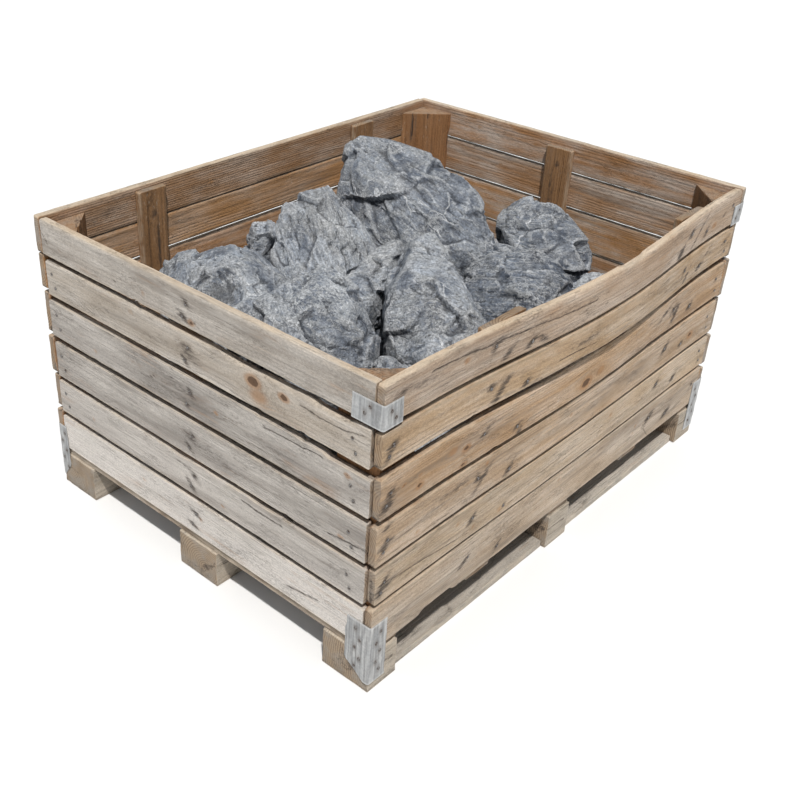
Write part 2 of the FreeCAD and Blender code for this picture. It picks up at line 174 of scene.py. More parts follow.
# ---- materials -------------------------------------------------------------------------------
class Nodes:
    """Short words for building one material."""

    def __init__(self, name):
        self.material = bpy.data.materials.new(name)
        self.material.use_nodes = True
        self.tree = self.material.node_tree
        self.tree.nodes.clear()
        self.shader = self.add("ShaderNodeBsdfPrincipled")
        output = self.add("ShaderNodeOutputMaterial")
        self.tree.links.new(self.shader.outputs[0], output.inputs["Surface"])

    def add(self, kind, **settings):
        node = self.tree.nodes.new(kind)
        for key, value in settings.items():
            setattr(node, key, value)
        return node

    def put(self, socket, value):
        if isinstance(value, bpy.types.NodeSocket):
            self.tree.links.new(value, socket)
        elif isinstance(value, (int, float)):
            socket.default_value = value
        elif len(socket.default_value) == 4:
            socket.default_value = (*value, 1.0)
        else:
            socket.default_value = value

    def attribute(self, name, output="Fac"):
        return self.add("ShaderNodeAttribute", attribute_name=name).outputs[output]

    def object_coordinates(self):
        return self.add("ShaderNodeTexCoord").outputs["Object"]

    def scaled(self, vector, scale):
        node = self.add("ShaderNodeVectorMath", operation="MULTIPLY")
        self.put(node.inputs[0], vector)
        node.inputs[1].default_value = scale
        return node.outputs[0]

    def vector(self, operation, a, b=None, output=0):
        node = self.add("ShaderNodeVectorMath", operation=operation)
        self.put(node.inputs[0], a)
        if b is not None:
            self.put(node.inputs[1], b)
        return node.outputs[output]

    def math(self, operation, a, b=0.5):
        node = self.add("ShaderNodeMath", operation=operation)
        self.put(node.inputs[0], a)
        self.put(node.inputs[1], b)
        return node.outputs[0]

    def times(self, a, b):
        return self.math("MULTIPLY", a, b)

    def plus(self, a, b):
        return self.math("ADD", a, b)

    def weighted(self, *terms):
        """Sum of (value, weight) pairs."""
        total = self.times(*terms[0])
        for term in terms[1:]:
            total = self.plus(total, self.times(*term))
        return total

    def tint(self, under, mask, strength, over):
        """A colour laid over another where the mask is on."""
        return self.mix(self.times(mask, strength), under, over)

    def shaded(self, colour, light):
        """A colour made lighter or darker by a number."""
        return self.mix(1.0, colour, self.vector("MULTIPLY", (1.0, 1.0, 1.0), light), "MULTIPLY")

    def noise(self, vector, scale, detail=3.0, roughness=0.55, distortion=0.0):
        node = self.add("ShaderNodeTexNoise")
        self.put(node.inputs["Vector"], vector)
        node.inputs["Scale"].default_value = scale
        node.inputs["Detail"].default_value = detail
        node.inputs["Roughness"].default_value = roughness
        node.inputs["Distortion"].default_value = distortion
        return node.outputs["Fac"]

    def range(self, value, low, high, to_low=0.0, to_high=1.0):
        """value from low..high to to_low..to_high, held at the ends, with a soft start and end."""
        node = self.add("ShaderNodeMapRange", interpolation_type="SMOOTHSTEP")
        for key, x in (("Value", value), ("From Min", low), ("From Max", high),
                       ("To Min", to_low), ("To Max", to_high)):
            self.put(node.inputs[key], x)
        return node.outputs["Result"]

    def mix(self, amount, a, b, blend="MIX"):
        node = self.add("ShaderNodeMix", data_type="RGBA", blend_type=blend)
        self.put(node.inputs[0], amount)
        self.put(node.inputs[6], a)
        self.put(node.inputs[7], b)
        return node.outputs[2]

    def line(self, value, middle, width):
        """1 where value crosses middle, fading to 0 at width on both sides."""
        away = self.math("ABSOLUTE", self.math("SUBTRACT", value, middle))
        return self.range(away, 0.0, width, 1.0, 0.0)

    def bump(self, height, strength, distance):
        node = self.add("ShaderNodeBump")
        self.put(node.inputs["Height"], height)
        node.inputs["Strength"].default_value = strength
        node.inputs["Distance"].default_value = distance
        return node.outputs["Normal"]

    def finish(self, colour, roughness, normal, **plain):
        self.put(self.shader.inputs["Base Color"], colour)
        self.put(self.shader.inputs["Roughness"], roughness)
        if normal is not None:
            self.put(self.shader.inputs["Normal"], normal)
        for key, value in plain.items():
            self.shader.inputs[key.replace("_", " ")].default_value = value
        return self.material


def wood(name, silver, silvering, band_depth):
    """Sawn softwood. Each piece carries its grain direction, tone, stains and painted shade, knots, wear and
    end grain.
    """
    n = Nodes(name)
    grain = n.attribute("grain", "Vector")
    tone = n.attribute("tone", "Vector")
    stain = n.attribute("stain")
    knot = n.attribute("knot")
    worn = n.attribute("worn")
    end = n.attribute("end")

    def fibrous(lengthwise, across, *settings):
        """Noise drawn out along the grain."""
        return n.noise(n.scaled(grain, (lengthwise, across, across)), 1.0, *settings)

    sway = fibrous(1.6, 16.0, 3.0)
    depth = n.vector("LENGTH", n.scaled(grain, (0.0, 1.0, 1.0)), output=1)
    ring = n.plus(depth, n.times(sway, 0.016))
    band = n.math("SINE", n.times(ring, 2 * math.pi / 0.0065))
    band = n.range(band, -0.4, 1.0)
    fibre = fibrous(9.0, 330.0, 4.0, 0.6)
    streak = fibrous(2.2, 60.0, 4.0, 0.6)
    blotch = fibrous(5.0, 14.0, 4.0, 0.6)
    speck = fibrous(60.0, 190.0, 3.0, 0.6)
    check = fibrous(3.2, 150.0, 2.0, 0.5)
    check = n.times(n.line(check, 0.5, 0.011), n.range(blotch, 0.45, 0.62))

    nick = fibrous(28.0, 110.0, 4.0, 0.7, 0.8)
    nicked = n.range(fibrous(7.0, 22.0, 4.0, 0.7), 0.48, 0.66)
    nick = n.times(n.line(nick, 0.5, 0.020), nicked)
    grey = n.range(n.weighted((blotch, 0.6), (streak, 0.4)), 0.36, 0.66)
    colour = n.mix(n.times(grey, silvering), tone, silver)
    grit = fibrous(170.0, 330.0, 4.0, 0.75)
    light = n.weighted((fibre, 0.40), (streak, 0.32), (blotch, 0.95), (grit, 1.35))
    light = n.math("SUBTRACT", n.plus(light, -0.46), n.times(band, band_depth))
    colour = n.shaded(colour, light)
    amber = n.times(n.range(streak, 0.50, 0.68), n.range(grey, 0.6, 0.1))
    colour = n.tint(colour, amber, 0.42, (0.42, 0.215, 0.085))
    colour = n.tint(colour, check, 0.55, (0.10, 0.075, 0.055))
    colour = n.tint(colour, nick, 0.50, (0.11, 0.075, 0.05))
    pale = n.times(n.range(speck, 0.40, 0.30), n.range(blotch, 0.46, 0.60))
    colour = n.tint(colour, pale, 0.45, (0.66, 0.58, 0.48))
    colour = n.tint(colour, n.range(speck, 0.66, 0.78), 0.30, (0.12, 0.095, 0.08))

    weather = fibrous(1.3, 17.0, 5.0, 0.66, 0.4)
    weather = n.times(n.range(weather, 0.52, 0.70), n.range(grit, 0.36, 0.58))
    colour = n.tint(colour, weather, 0.62, (0.145, 0.118, 0.095))

    halo = n.range(knot, 0.04, 0.45)
    colour = n.tint(colour, halo, 0.62, (0.34, 0.175, 0.075))
    core = n.range(n.plus(knot, n.times(n.math("SUBTRACT", fibre, 0.5), 0.35)), 0.52, 0.72)
    colour = n.tint(colour, core, 0.85, (0.085, 0.045, 0.025))

    edge = n.times(worn, n.range(fibrous(26.0, 90.0, 3.0), 0.32, 0.62))
    colour = n.tint(colour, edge, 0.42, (0.62, 0.52, 0.40))
    ends = n.mix(n.range(band, 0.0, 1.0), (0.34, 0.25, 0.165), (0.20, 0.135, 0.085))
    ends = n.mix(n.range(blotch, 0.4, 0.7), ends, (0.30, 0.26, 0.22))
    colour = n.tint(colour, end, 0.8, ends)
    # Dark marks from the stain attribute: real nail stains and smears, and painted shade in the gaps between
    # boards, in the cracks and at the foot of the blocks.
    stain_and_shade = stain
    for texture, strength in ((streak, 1.5), (speck, 1.3), (fibre, 0.9)):
        stain_and_shade = n.plus(stain_and_shade, n.times(n.math("SUBTRACT", texture, 0.5), strength))
    stain_and_shade = n.times(n.range(stain_and_shade, 0.15, 1.05), n.range(stain, 0.02, 0.30))
    colour = n.tint(colour, stain_and_shade, 0.90, (0.060, 0.046, 0.038))

    height = n.weighted((fibre, 0.7), (band, -0.35), (check, -1.2), (speck, 0.7), (grit, 0.8), (nick, -0.8))
    rough = n.range(fibre, 0.3, 0.7, 0.72, 0.92)
    return n.finish(colour, rough, n.bump(height, 0.9, 0.0018), Specular_IOR_Level=0.25)


def quarry_stone(name):
    """Broken blue-grey stone: mottled, frosted along its edges, crossed by fine white veins, with painted
    shade in its hollows.
    """
    n = Nodes(name)
    at = n.object_coordinates()
    layer = n.attribute("layer", "Vector")
    crest = n.attribute("crest")
    dust = n.attribute("dust")
    shade = n.attribute("shade")

    slant = n.scaled(layer, (3.4, 3.4, 0.85))
    warp = n.noise(at, 7.0, 3.0)
    mottle = n.noise(at, 11.0, 6.0, 0.66, 0.3)
    cloud = n.noise(at, 4.2, 3.0, 0.5)
    grit = n.noise(at, 190.0, 4.0, 0.75)
    sparkle = n.noise(at, 420.0, 2.0, 0.6)
    bands = n.noise(layer, 1.0, 4.0, 0.6, 0.5)
    colour = n.mix(n.range(mottle, 0.36, 0.66), (0.105, 0.124, 0.160), (0.40, 0.432, 0.48))
    colour = n.tint(colour, n.range(bands, 0.48, 0.70), 0.45, (0.47, 0.495, 0.53))
    colour = n.tint(colour, n.range(bands, 0.44, 0.28), 0.65, (0.055, 0.064, 0.082))
    colour = n.mix(n.range(shade, 0.0, 1.0), colour, n.mix(1.0, colour, (0.36, 0.39, 0.44), "MULTIPLY"))

    squiggle = n.line(n.noise(slant, 0.9, 5.0, 0.65, 0.7), 0.5, 0.045)
    fine = n.line(n.noise(slant, 2.6, 4.0, 0.68, 0.6), 0.5, 0.080)
    where = n.range(n.noise(at, 8.0, 4.0, 0.65), 0.42, 0.60)
    veins = n.times(n.math("MAXIMUM", squiggle, n.times(fine, 0.8)), where)
    crack = n.add("ShaderNodeTexVoronoi", feature="DISTANCE_TO_EDGE")
    crack.inputs["Scale"].default_value = 6.5
    shifted = n.vector("ADD", at, n.vector("MULTIPLY", (0.16, 0.16, 0.16), warp))
    n.put(crack.inputs["Vector"], shifted)
    long_vein = n.range(crack.outputs["Distance"], 0.0, 0.016, 1.0, 0.0)
    long_vein = n.times(long_vein, n.range(cloud, 0.46, 0.60))
    along_layer = n.line(n.noise(layer, 1.6, 4.0, 0.6, 0.8), 0.52, 0.040)
    along_layer = n.times(along_layer, n.range(mottle, 0.40, 0.6))
    white = n.math("MAXIMUM", n.math("MAXIMUM", veins, long_vein), along_layer)
    colour = n.tint(colour, white, 0.70, (0.70, 0.71, 0.72))
    colour = n.tint(colour, n.range(crest, 0.3, 1.0), 0.42, (0.56, 0.57, 0.58))
    # Painted shade: hollows darkened to a bluish near-black.
    colour = n.tint(colour, n.range(crest, -0.15, -1.0), 0.75, (0.030, 0.035, 0.046))
    powder = n.times(dust, n.range(n.noise(at, 16.0, 4.0, 0.65), 0.32, 0.64))
    colour = n.tint(colour, powder, 0.70, (0.43, 0.425, 0.415))
    salt = n.range(grit, 0.36, 0.64, 0.68, 1.32)
    colour = n.shaded(colour, salt)
    colour = n.tint(colour, n.range(sparkle, 0.64, 0.74), 0.3, (0.74, 0.75, 0.76))

    pits = n.noise(at, 70.0, 4.0, 0.65)
    ledge = n.range(n.noise(slant, 1.3, 4.0, 0.6, 0.5), 0.49, 0.51)
    height = n.weighted((grit, 0.35), (mottle, 1.2), (pits, 1.0), (bands, 0.8), (white, -0.5), (ledge, 0.55))
    rough = n.range(grit, 0.3, 0.7, 0.62, 0.85)
    return n.finish(colour, rough, n.bump(height, 1.0, 0.0055), Specular_IOR_Level=0.35)


def galvanised(name):
    n = Nodes(name)
    at = n.object_coordinates()
    streak = n.noise(n.scaled(at, (150.0, 150.0, 9.0)), 1.0, 4.0, 0.6)
    cloud = n.noise(at, 38.0, 4.0, 0.6)
    spangle = n.add("ShaderNodeTexVoronoi")
    spangle.inputs["Scale"].default_value = 190.0
    n.put(spangle.inputs["Vector"], at)
    grey = n.mix(n.range(streak, 0.34, 0.66), (0.24, 0.24, 0.24), (0.50, 0.50, 0.495))
    grey = n.tint(grey, n.range(cloud, 0.35, 0.7), 0.5, (0.36, 0.37, 0.38))
    flake = n.range(spangle.outputs["Color"], 0.2, 0.8, 0.93, 1.07)
    grey = n.shaded(grey, flake)
    grey = n.tint(grey, n.range(n.attribute("stain"), 0.1, 1.0), 0.6, (0.13, 0.10, 0.08))
    grey = n.tint(grey, n.range(n.attribute("worn"), 0.2, 1.0), 0.35, (0.80, 0.80, 0.79))
    height = n.weighted((streak, 0.6), (cloud, 0.8))
    return n.finish(grey, n.range(cloud, 0.3, 0.7, 0.38, 0.62), n.bump(height, 0.5, 0.0008), Metallic=0.45)


def nail_steel(name):
    n = Nodes(name)
    at = n.object_coordinates()
    rust = n.range(n.noise(at, 260.0, 4.0, 0.65), 0.42, 0.64)
    colour = n.mix(rust, (0.20, 0.195, 0.19), (0.085, 0.052, 0.035))
    height = n.noise(at, 700.0, 3.0)
    return n.finish(colour, n.range(rust, 0.0, 1.0, 0.42, 0.8), n.bump(height, 0.4, 0.0004), Metallic=0.6)


SILVER = srgb(180, 174, 167)
LONG_WOOD = wood("long_boards", SILVER, 0.42, 0.13)
END_WOOD = wood("end_boards", SILVER, 0.75, 0.07)
INNER_WOOD = wood("inner_wood", srgb(140, 112, 86), 0.35, 0.16)
BASE_WOOD = wood("base_wood", srgb(168, 160, 150), 0.6, 0.12)
STONE = quarry_stone("quarry_stone")
ZINC = galvanised("galvanised_sheet")
STEEL = nail_steel("nail_steel")


# ---- planks ----------------------------------------------------------------------------------
def planks_profile(points, a):
    """Value along a plank from (place, value) pairs."""
    if not points:
        return np.zeros(len(a))
    places, values = zip(*points)
    return np.interp(a, places, values)


def plank(name, place, a0, a1, low, high, thick, seed, tone, inner_tone=None, material=LONG_WOOD,
          slot="long_boards", nodes=(), top=(), bottom=(), top_wane=(), bottom_wane=(), wane_depth=0.010,
          cracks=(), knots=(), smears=(), nails=(), corner=0.005, step=0.011, rows=0.0065, rough=1.0,
          foot_shade=0.0, gap_shade=0.0, rim=False, nail_stain=lambda a: 1.0, build=True):
    """Sawn board along a.  place(a, t, w) gives the point at a along the board, t across it and w under
    its outer face.  top and bottom are how far the edges stand back, the wanes are bark bevels on them,
    a crack is (a, t, a, t, width, depth), a knot (a, t, radius, strength) and a smear
    (a, t, length, width, slope, strength)."""
    chance = random.Random(seed)
    length = a1 - a0
    near_end = np.array([0.0, 0.0006, 0.0016, 0.003, 0.0048, 0.0075])
    a = np.unique(np.round(np.concatenate([
        np.linspace(a0 + 0.012, a1 - 0.012, max(3, int(length / step))), a0 + near_end, a1 - near_end]), 7))
    from_end = np.minimum(a - a0, a1 - a)

    # Edges: slow and quick wander, small chips, rounded corners.
    def edge(extra, number):
        wander = 0.0011 * (1 + along(a, 5.0, seed + number))
        wander += 0.0005 * np.abs(along(a, 42.0, seed + number + 3))
        chip = 0.004 * smooth(along(a, 21.0, seed + number + 5, 2), 0.75, 1.25)
        reach = corner * chance.uniform(0.6, 1.3)
        inside = np.clip(reach - from_end, 0.0, reach)
        rounding = reach - np.sqrt(np.maximum(reach ** 2 - inside ** 2, 0.0))
        return rough * (wander + chip) + rounding + planks_profile(extra, a)

    t_low = low + edge(bottom, 1)
    t_high = high - edge(top, 2)
    ragged = 1 + 0.35 * along(a, 30.0, seed + 8)
    bevel_top = 0.0016 + planks_profile(top_wane, a) * ragged
    bevel_low = 0.0016 + planks_profile(bottom_wane, a) * ragged
    drop_top = 0.0012 + np.minimum(wane_depth, 0.8 * (bevel_top - 0.0016))
    drop_low = 0.0012 + np.minimum(wane_depth, 0.8 * (bevel_low - 0.0016))

    # Rows across the face, bent to follow the cracks.
    height = high - low
    even = np.linspace(0, 1, max(4, int(height / rows)))
    marks = sorted((0.5 * (c[1] + c[3]) - low) / height for c in cracks)
    even = even[[all(abs(e - m) > 0.035 for m in marks) for e in even]]
    fixed = []
    paths = []
    for c in sorted(cracks, key=lambda c: c[1] + c[3]):
        middle = (0.5 * (c[1] + c[3]) - low) / height
        path = np.interp(a, (c[0], c[2]), (c[1], c[3]))
        path = path + 0.0016 * along(a, 17.0, seed + 40 + len(paths)) - low
        fade_in = smooth(a, c[0], c[0] + 0.02) if c[0] > a0 + 0.004 else 1.0
        fade_out = 1 - smooth(a, c[2] - 0.02, c[2]) if c[2] < a1 - 0.004 else 1.0
        open_ = fade_in * fade_out * (0.75 + 0.25 * along(a, 26.0, seed + 60))
        half = 0.5 * c[4] * open_ / height + 0.0003 / height
        paths.append((middle, path / height, half, open_ * c[5]))
        fixed += [middle - 0.01, middle, middle + 0.01]
    r = np.sort(np.concatenate([even, fixed])) if fixed else even
    across = np.empty((len(a), len(r)))
    sink = np.zeros((len(a), len(r)))
    for i in range(len(a)):
        source, target = [0.0], [0.0]
        for middle, path, half, _ in paths:
            source += [middle - 0.01, middle, middle + 0.01]
            target += [path[i] - half[i], path[i], path[i] + half[i]]
        across[i] = np.interp(r, source + [1.0], target + [1.0])
    for middle, _, _, depth in paths:
        sink[:, int(np.argmin(np.abs(r - middle)))] = depth

    # Ring of points around the section at each station.
    def rowed(shift):
        t = (t_low + bevel_low)[:, None] + across * (t_high - bevel_top - t_low - bevel_low)[:, None]
        flat = np.column_stack([np.repeat(a * 3.1, len(r)), (t * 24.0).ravel(), np.full(t.size, shift)])
        return t, 0.0005 * (1 + fractal(flat, seed + 21, 3)).reshape(t.shape)

    t_out, relief = rowed(0.3)
    for na, nt in nails:
        relief += 0.0011 * np.exp(-(((a[:, None] - na) ** 2 + (t_out - nt) ** 2) / 0.007 ** 2))
    for ka, kt, radius, strength in knots:
        d = np.sqrt((a[:, None] - ka) ** 2 * 0.6 + (t_out - kt) ** 2) / radius
        relief += 0.0016 * strength * np.exp(-(d * 1.3) ** 2) - 0.0006 * np.exp(-((d - 1.3) * 2) ** 2)
    w_out = relief + sink
    t_in, relief_in = rowed(7.7)
    w_in = thick - relief_in
    edge_points = max(3, int(thick / 0.012))
    share = np.linspace(0, 1, edge_points)[None, :]
    inner_round = 0.0014
    w_top = drop_top[:, None] + share * (thick - inner_round - drop_top)[:, None]
    w_low = drop_low[:, None] + share * (thick - inner_round - drop_low)[:, None]
    skin = 0.0005 * along(a, 33.0, seed + 90)[:, None]
    knee = 0.36
    ring_t = np.concatenate([
        t_out, (t_high - knee * bevel_top)[:, None], np.repeat(t_high[:, None], edge_points, 1) + skin,
        t_in[:, ::-1], np.repeat(t_low[:, None], edge_points, 1) + skin,
        (t_low + knee * bevel_low)[:, None]], 1)
    ring_w = np.concatenate([
        w_out, (knee * drop_top)[:, None], w_top, w_in[:, ::-1], w_low[:, ::-1],
        (knee * drop_low)[:, None]], 1)
    pull = 0.0013 * np.clip(1 - from_end / 0.0016, 0, 1)[:, None]
    ring_w = ring_w + pull * np.sign(thick / 2 - ring_w)
    ring_a = np.repeat(a[:, None], ring_t.shape[1], 1)
    section = np.column_stack([np.full(ring_t.size, seed), ring_t.ravel() * 60, ring_w.ravel() * 60])
    saw = fractal(section, seed, 2)
    end_share = np.clip(1 - from_end / 0.003, 0, 1)[:, None]
    toward = np.where(a - a0 < a1 - a, 1.0, -1.0)[:, None]
    ring_a = ring_a + toward * end_share * 0.0008 * (1 + saw.reshape(ring_t.shape))
    bow = 0.0012 * along(a, 1.7, seed + 70)[:, None] * rough
    bow = np.clip(bow, -0.0008, 0.002) if thick < 0.03 else bow * 0

    # What the material reads.
    flat_a, flat_t, flat_w = ring_a.ravel(), ring_t.ravel(), ring_w.ravel()
    pith_t = low + height * chance.uniform(0.1, 0.9)
    pith_w = chance.choice((-1, 1)) * chance.uniform(0.02, 0.07)
    bend = np.zeros(len(flat_a))
    knot = np.zeros(len(flat_a))
    small = [(chance.uniform(a0 + 0.05, a1 - 0.05), chance.uniform(low + 0.02, high - 0.02),
              chance.uniform(0.003, 0.0065), chance.uniform(0.35, 0.8)) for _ in range(int(length * 2.2))]
    for ka, kt, radius, strength in list(knots) + small:
        d = np.sqrt(((flat_a - ka) / 1.5) ** 2 + (flat_t - kt) ** 2) / radius
        bend += (flat_t - kt) * 0.7 * np.exp(-(d / 2.4) ** 2)
        knot = np.maximum(knot, strength * np.exp(-d ** 2 * 0.9))
    grain = np.column_stack([flat_a + 3.7 * seed, flat_t - bend - pith_t, flat_w - pith_w])
    stain = np.zeros(len(flat_a))
    front = flat_w < 0.5 * thick
    spots = [(na, nt, chance.uniform(0.016, 0.032), chance.uniform(0.008, 0.014), chance.uniform(0.3, 1.0),
              chance.uniform(0.8, 1.2) * nail_stain(na)) for na, nt in nails]
    for sa, st, reach, width, slope, strength in spots + list(smears):
        turn = math.atan(slope)
        u = (flat_a - sa) * math.cos(turn) + (flat_t - st) * math.sin(turn)
        v = -(flat_a - sa) * math.sin(turn) + (flat_t - st) * math.cos(turn)
        stain = np.maximum(stain, front * strength * np.exp(-(u / reach) ** 2 - (v / width) ** 2))
    # Painted shade along the deeper cracks, on the outer half of the board.
    for _, path, half, depth in paths:
        tc = (t_low + bevel_low) + path * (t_high - bevel_top - t_low - bevel_low)
        near = np.exp(-((ring_t - tc[:, None]) / 0.0016) ** 2) * (depth > 0.0005)[:, None]
        stain = np.maximum(stain, front * 0.85 * near.ravel())
    above_low = flat_t - np.repeat(t_low, ring_t.shape[1])
    below_high = np.repeat(t_high, ring_t.shape[1]) - flat_t
    worn = np.exp(-np.maximum(np.minimum(above_low, below_high), 0) / 0.004)
    end = np.repeat(np.clip(1 - from_end / 0.0012, 0, 1), ring_t.shape[1])
    over_top = np.clip(-below_high / 0.002 + 1, 0, 1)
    under = np.clip(-above_low / 0.002 + 1, 0, 1)
    # Painted shade on the edge faces that look into the gaps between boards; the rim's top face is left out.
    stain = np.maximum(stain, gap_shade * under * smooth(flat_w, 0.002, 0.008))
    stain = np.maximum(stain, 0.8 * gap_shade * over_top * smooth(flat_w, 0.007, 0.015) * (not rim))
    # Painted shade at the foot of a block, darker towards the ground.
    if foot_shade:
        stain = np.maximum(stain, foot_shade * np.exp(-(flat_t - low) / 0.02))
    depth_share = smooth(flat_w / thick, 0.35, 0.8)[:, None]
    inner_tone = tone if inner_tone is None else inner_tone
    slow = np.column_stack([flat_a * 2.2, flat_t * 5.0, flat_w * 3.0])
    vary = 1 + 0.10 * fractal(slow, seed + 33, 2)[:, None]
    tones = (np.asarray(tone) * (1 - depth_share) + np.asarray(inner_tone) * depth_share) * vary
    if rim:
        fresh = (0.75 * over_top)[:, None]
        tones = tones * (1 - fresh) + srgb(206, 186, 160) * fresh
    points = place(flat_a, flat_t, (ring_w + bow).ravel())
    attributes = dict(grain=grain, tone=tones, stain=stain, knot=knot, worn=worn, end=end)
    if not build:
        return points, loft_faces(*ring_t.shape), attributes
    return make(name, points, loft_faces(*ring_t.shape), attributes, material, nodes)


def joined(name, parts, material, nodes):
    """Several planks as one piece."""
    points, faces, attributes = [], [], {}
    count = 0
    for p, f, attrs in parts:
        points.append(p)
        faces += [[i + count for i in face] for face in f]
        count += len(p)
        for key, values in attrs.items():
            attributes.setdefault(key, []).append(values)
    return make(name, np.concatenate(points), faces, {k: np.concatenate(v) for k, v in attributes.items()},
                material, nodes)


def stack(x, y, z):
    return np.column_stack(np.broadcast_arrays(x, y, z))


BOW_CENTRE = 0.030     # where the front wall bows out most, and how far the bow reaches to each side
BOW_REACH = 0.700
ROW_EDGES = [0.255, 0.266, 0.366, 0.379, 0.488, 0.504, 0.614, 0.637, 0.728, 0.740]
ROW_PUSHES = [0.0, 0.005, 0.005, 0.010, 0.010, 0.019, 0.025, 0.040, 0.040, 0.038]
BATTEN_EDGES = [0.255, 0.488, 0.614, 0.832]
BATTEN_LEAN = [0.0, 0.28, 0.61, 1.0]     # shares of a front batten's full lean at those heights


def bow(x):
    """Part of its row's outward push that the front wall has at x."""
    u = np.clip((np.asarray(x, float) - BOW_CENTRE) / BOW_REACH, -1, 1)
    return np.cos(math.pi / 2 * u) ** 2


def row_push(t):
    """Outward push of the front wall at height t: each row as a whole, the fourth one leaning."""
    return np.interp(t, ROW_EDGES, ROW_PUSHES)


# Each wall: how a, t and w lie in space.
WALLS = {
    "front": lambda a, t, w: stack(a, -HALF_Y - row_push(t) * bow(a) + w, t),
    "back": lambda a, t, w: stack(a, HALF_Y - w, t),
    "left_end": lambda a, t, w: stack(-HALF_X + w, a, t),
    "right_end": lambda a, t, w: stack(HALF_X - w, a, t),
}
NAIL_POINTS = [(p.min(0) + p.max(0)) / 2 for p in islands("wall_nails")]


def nails_in(wall, low, high):
    """(place, height) of the nails driven into a board of this wall."""
    axis, sign = {"front": (1, -1), "back": (1, 1), "left_end": (0, -1), "right_end": (0, 1)}[wall]
    limit = (HALF_X if axis == 0 else HALF_Y) - 0.04
    return [(c[1 - axis], c[2]) for c in NAIL_POINTS if c[axis] * sign > limit and low < c[2] < high]


# How dark the nails have stained the wood along a wall: on the end walls mostly at the middle.
STAINED = [lambda a: 0.45 if a > 0.65 else 1.0, lambda a: 0.30 if abs(a) > 0.3 else 0.85]

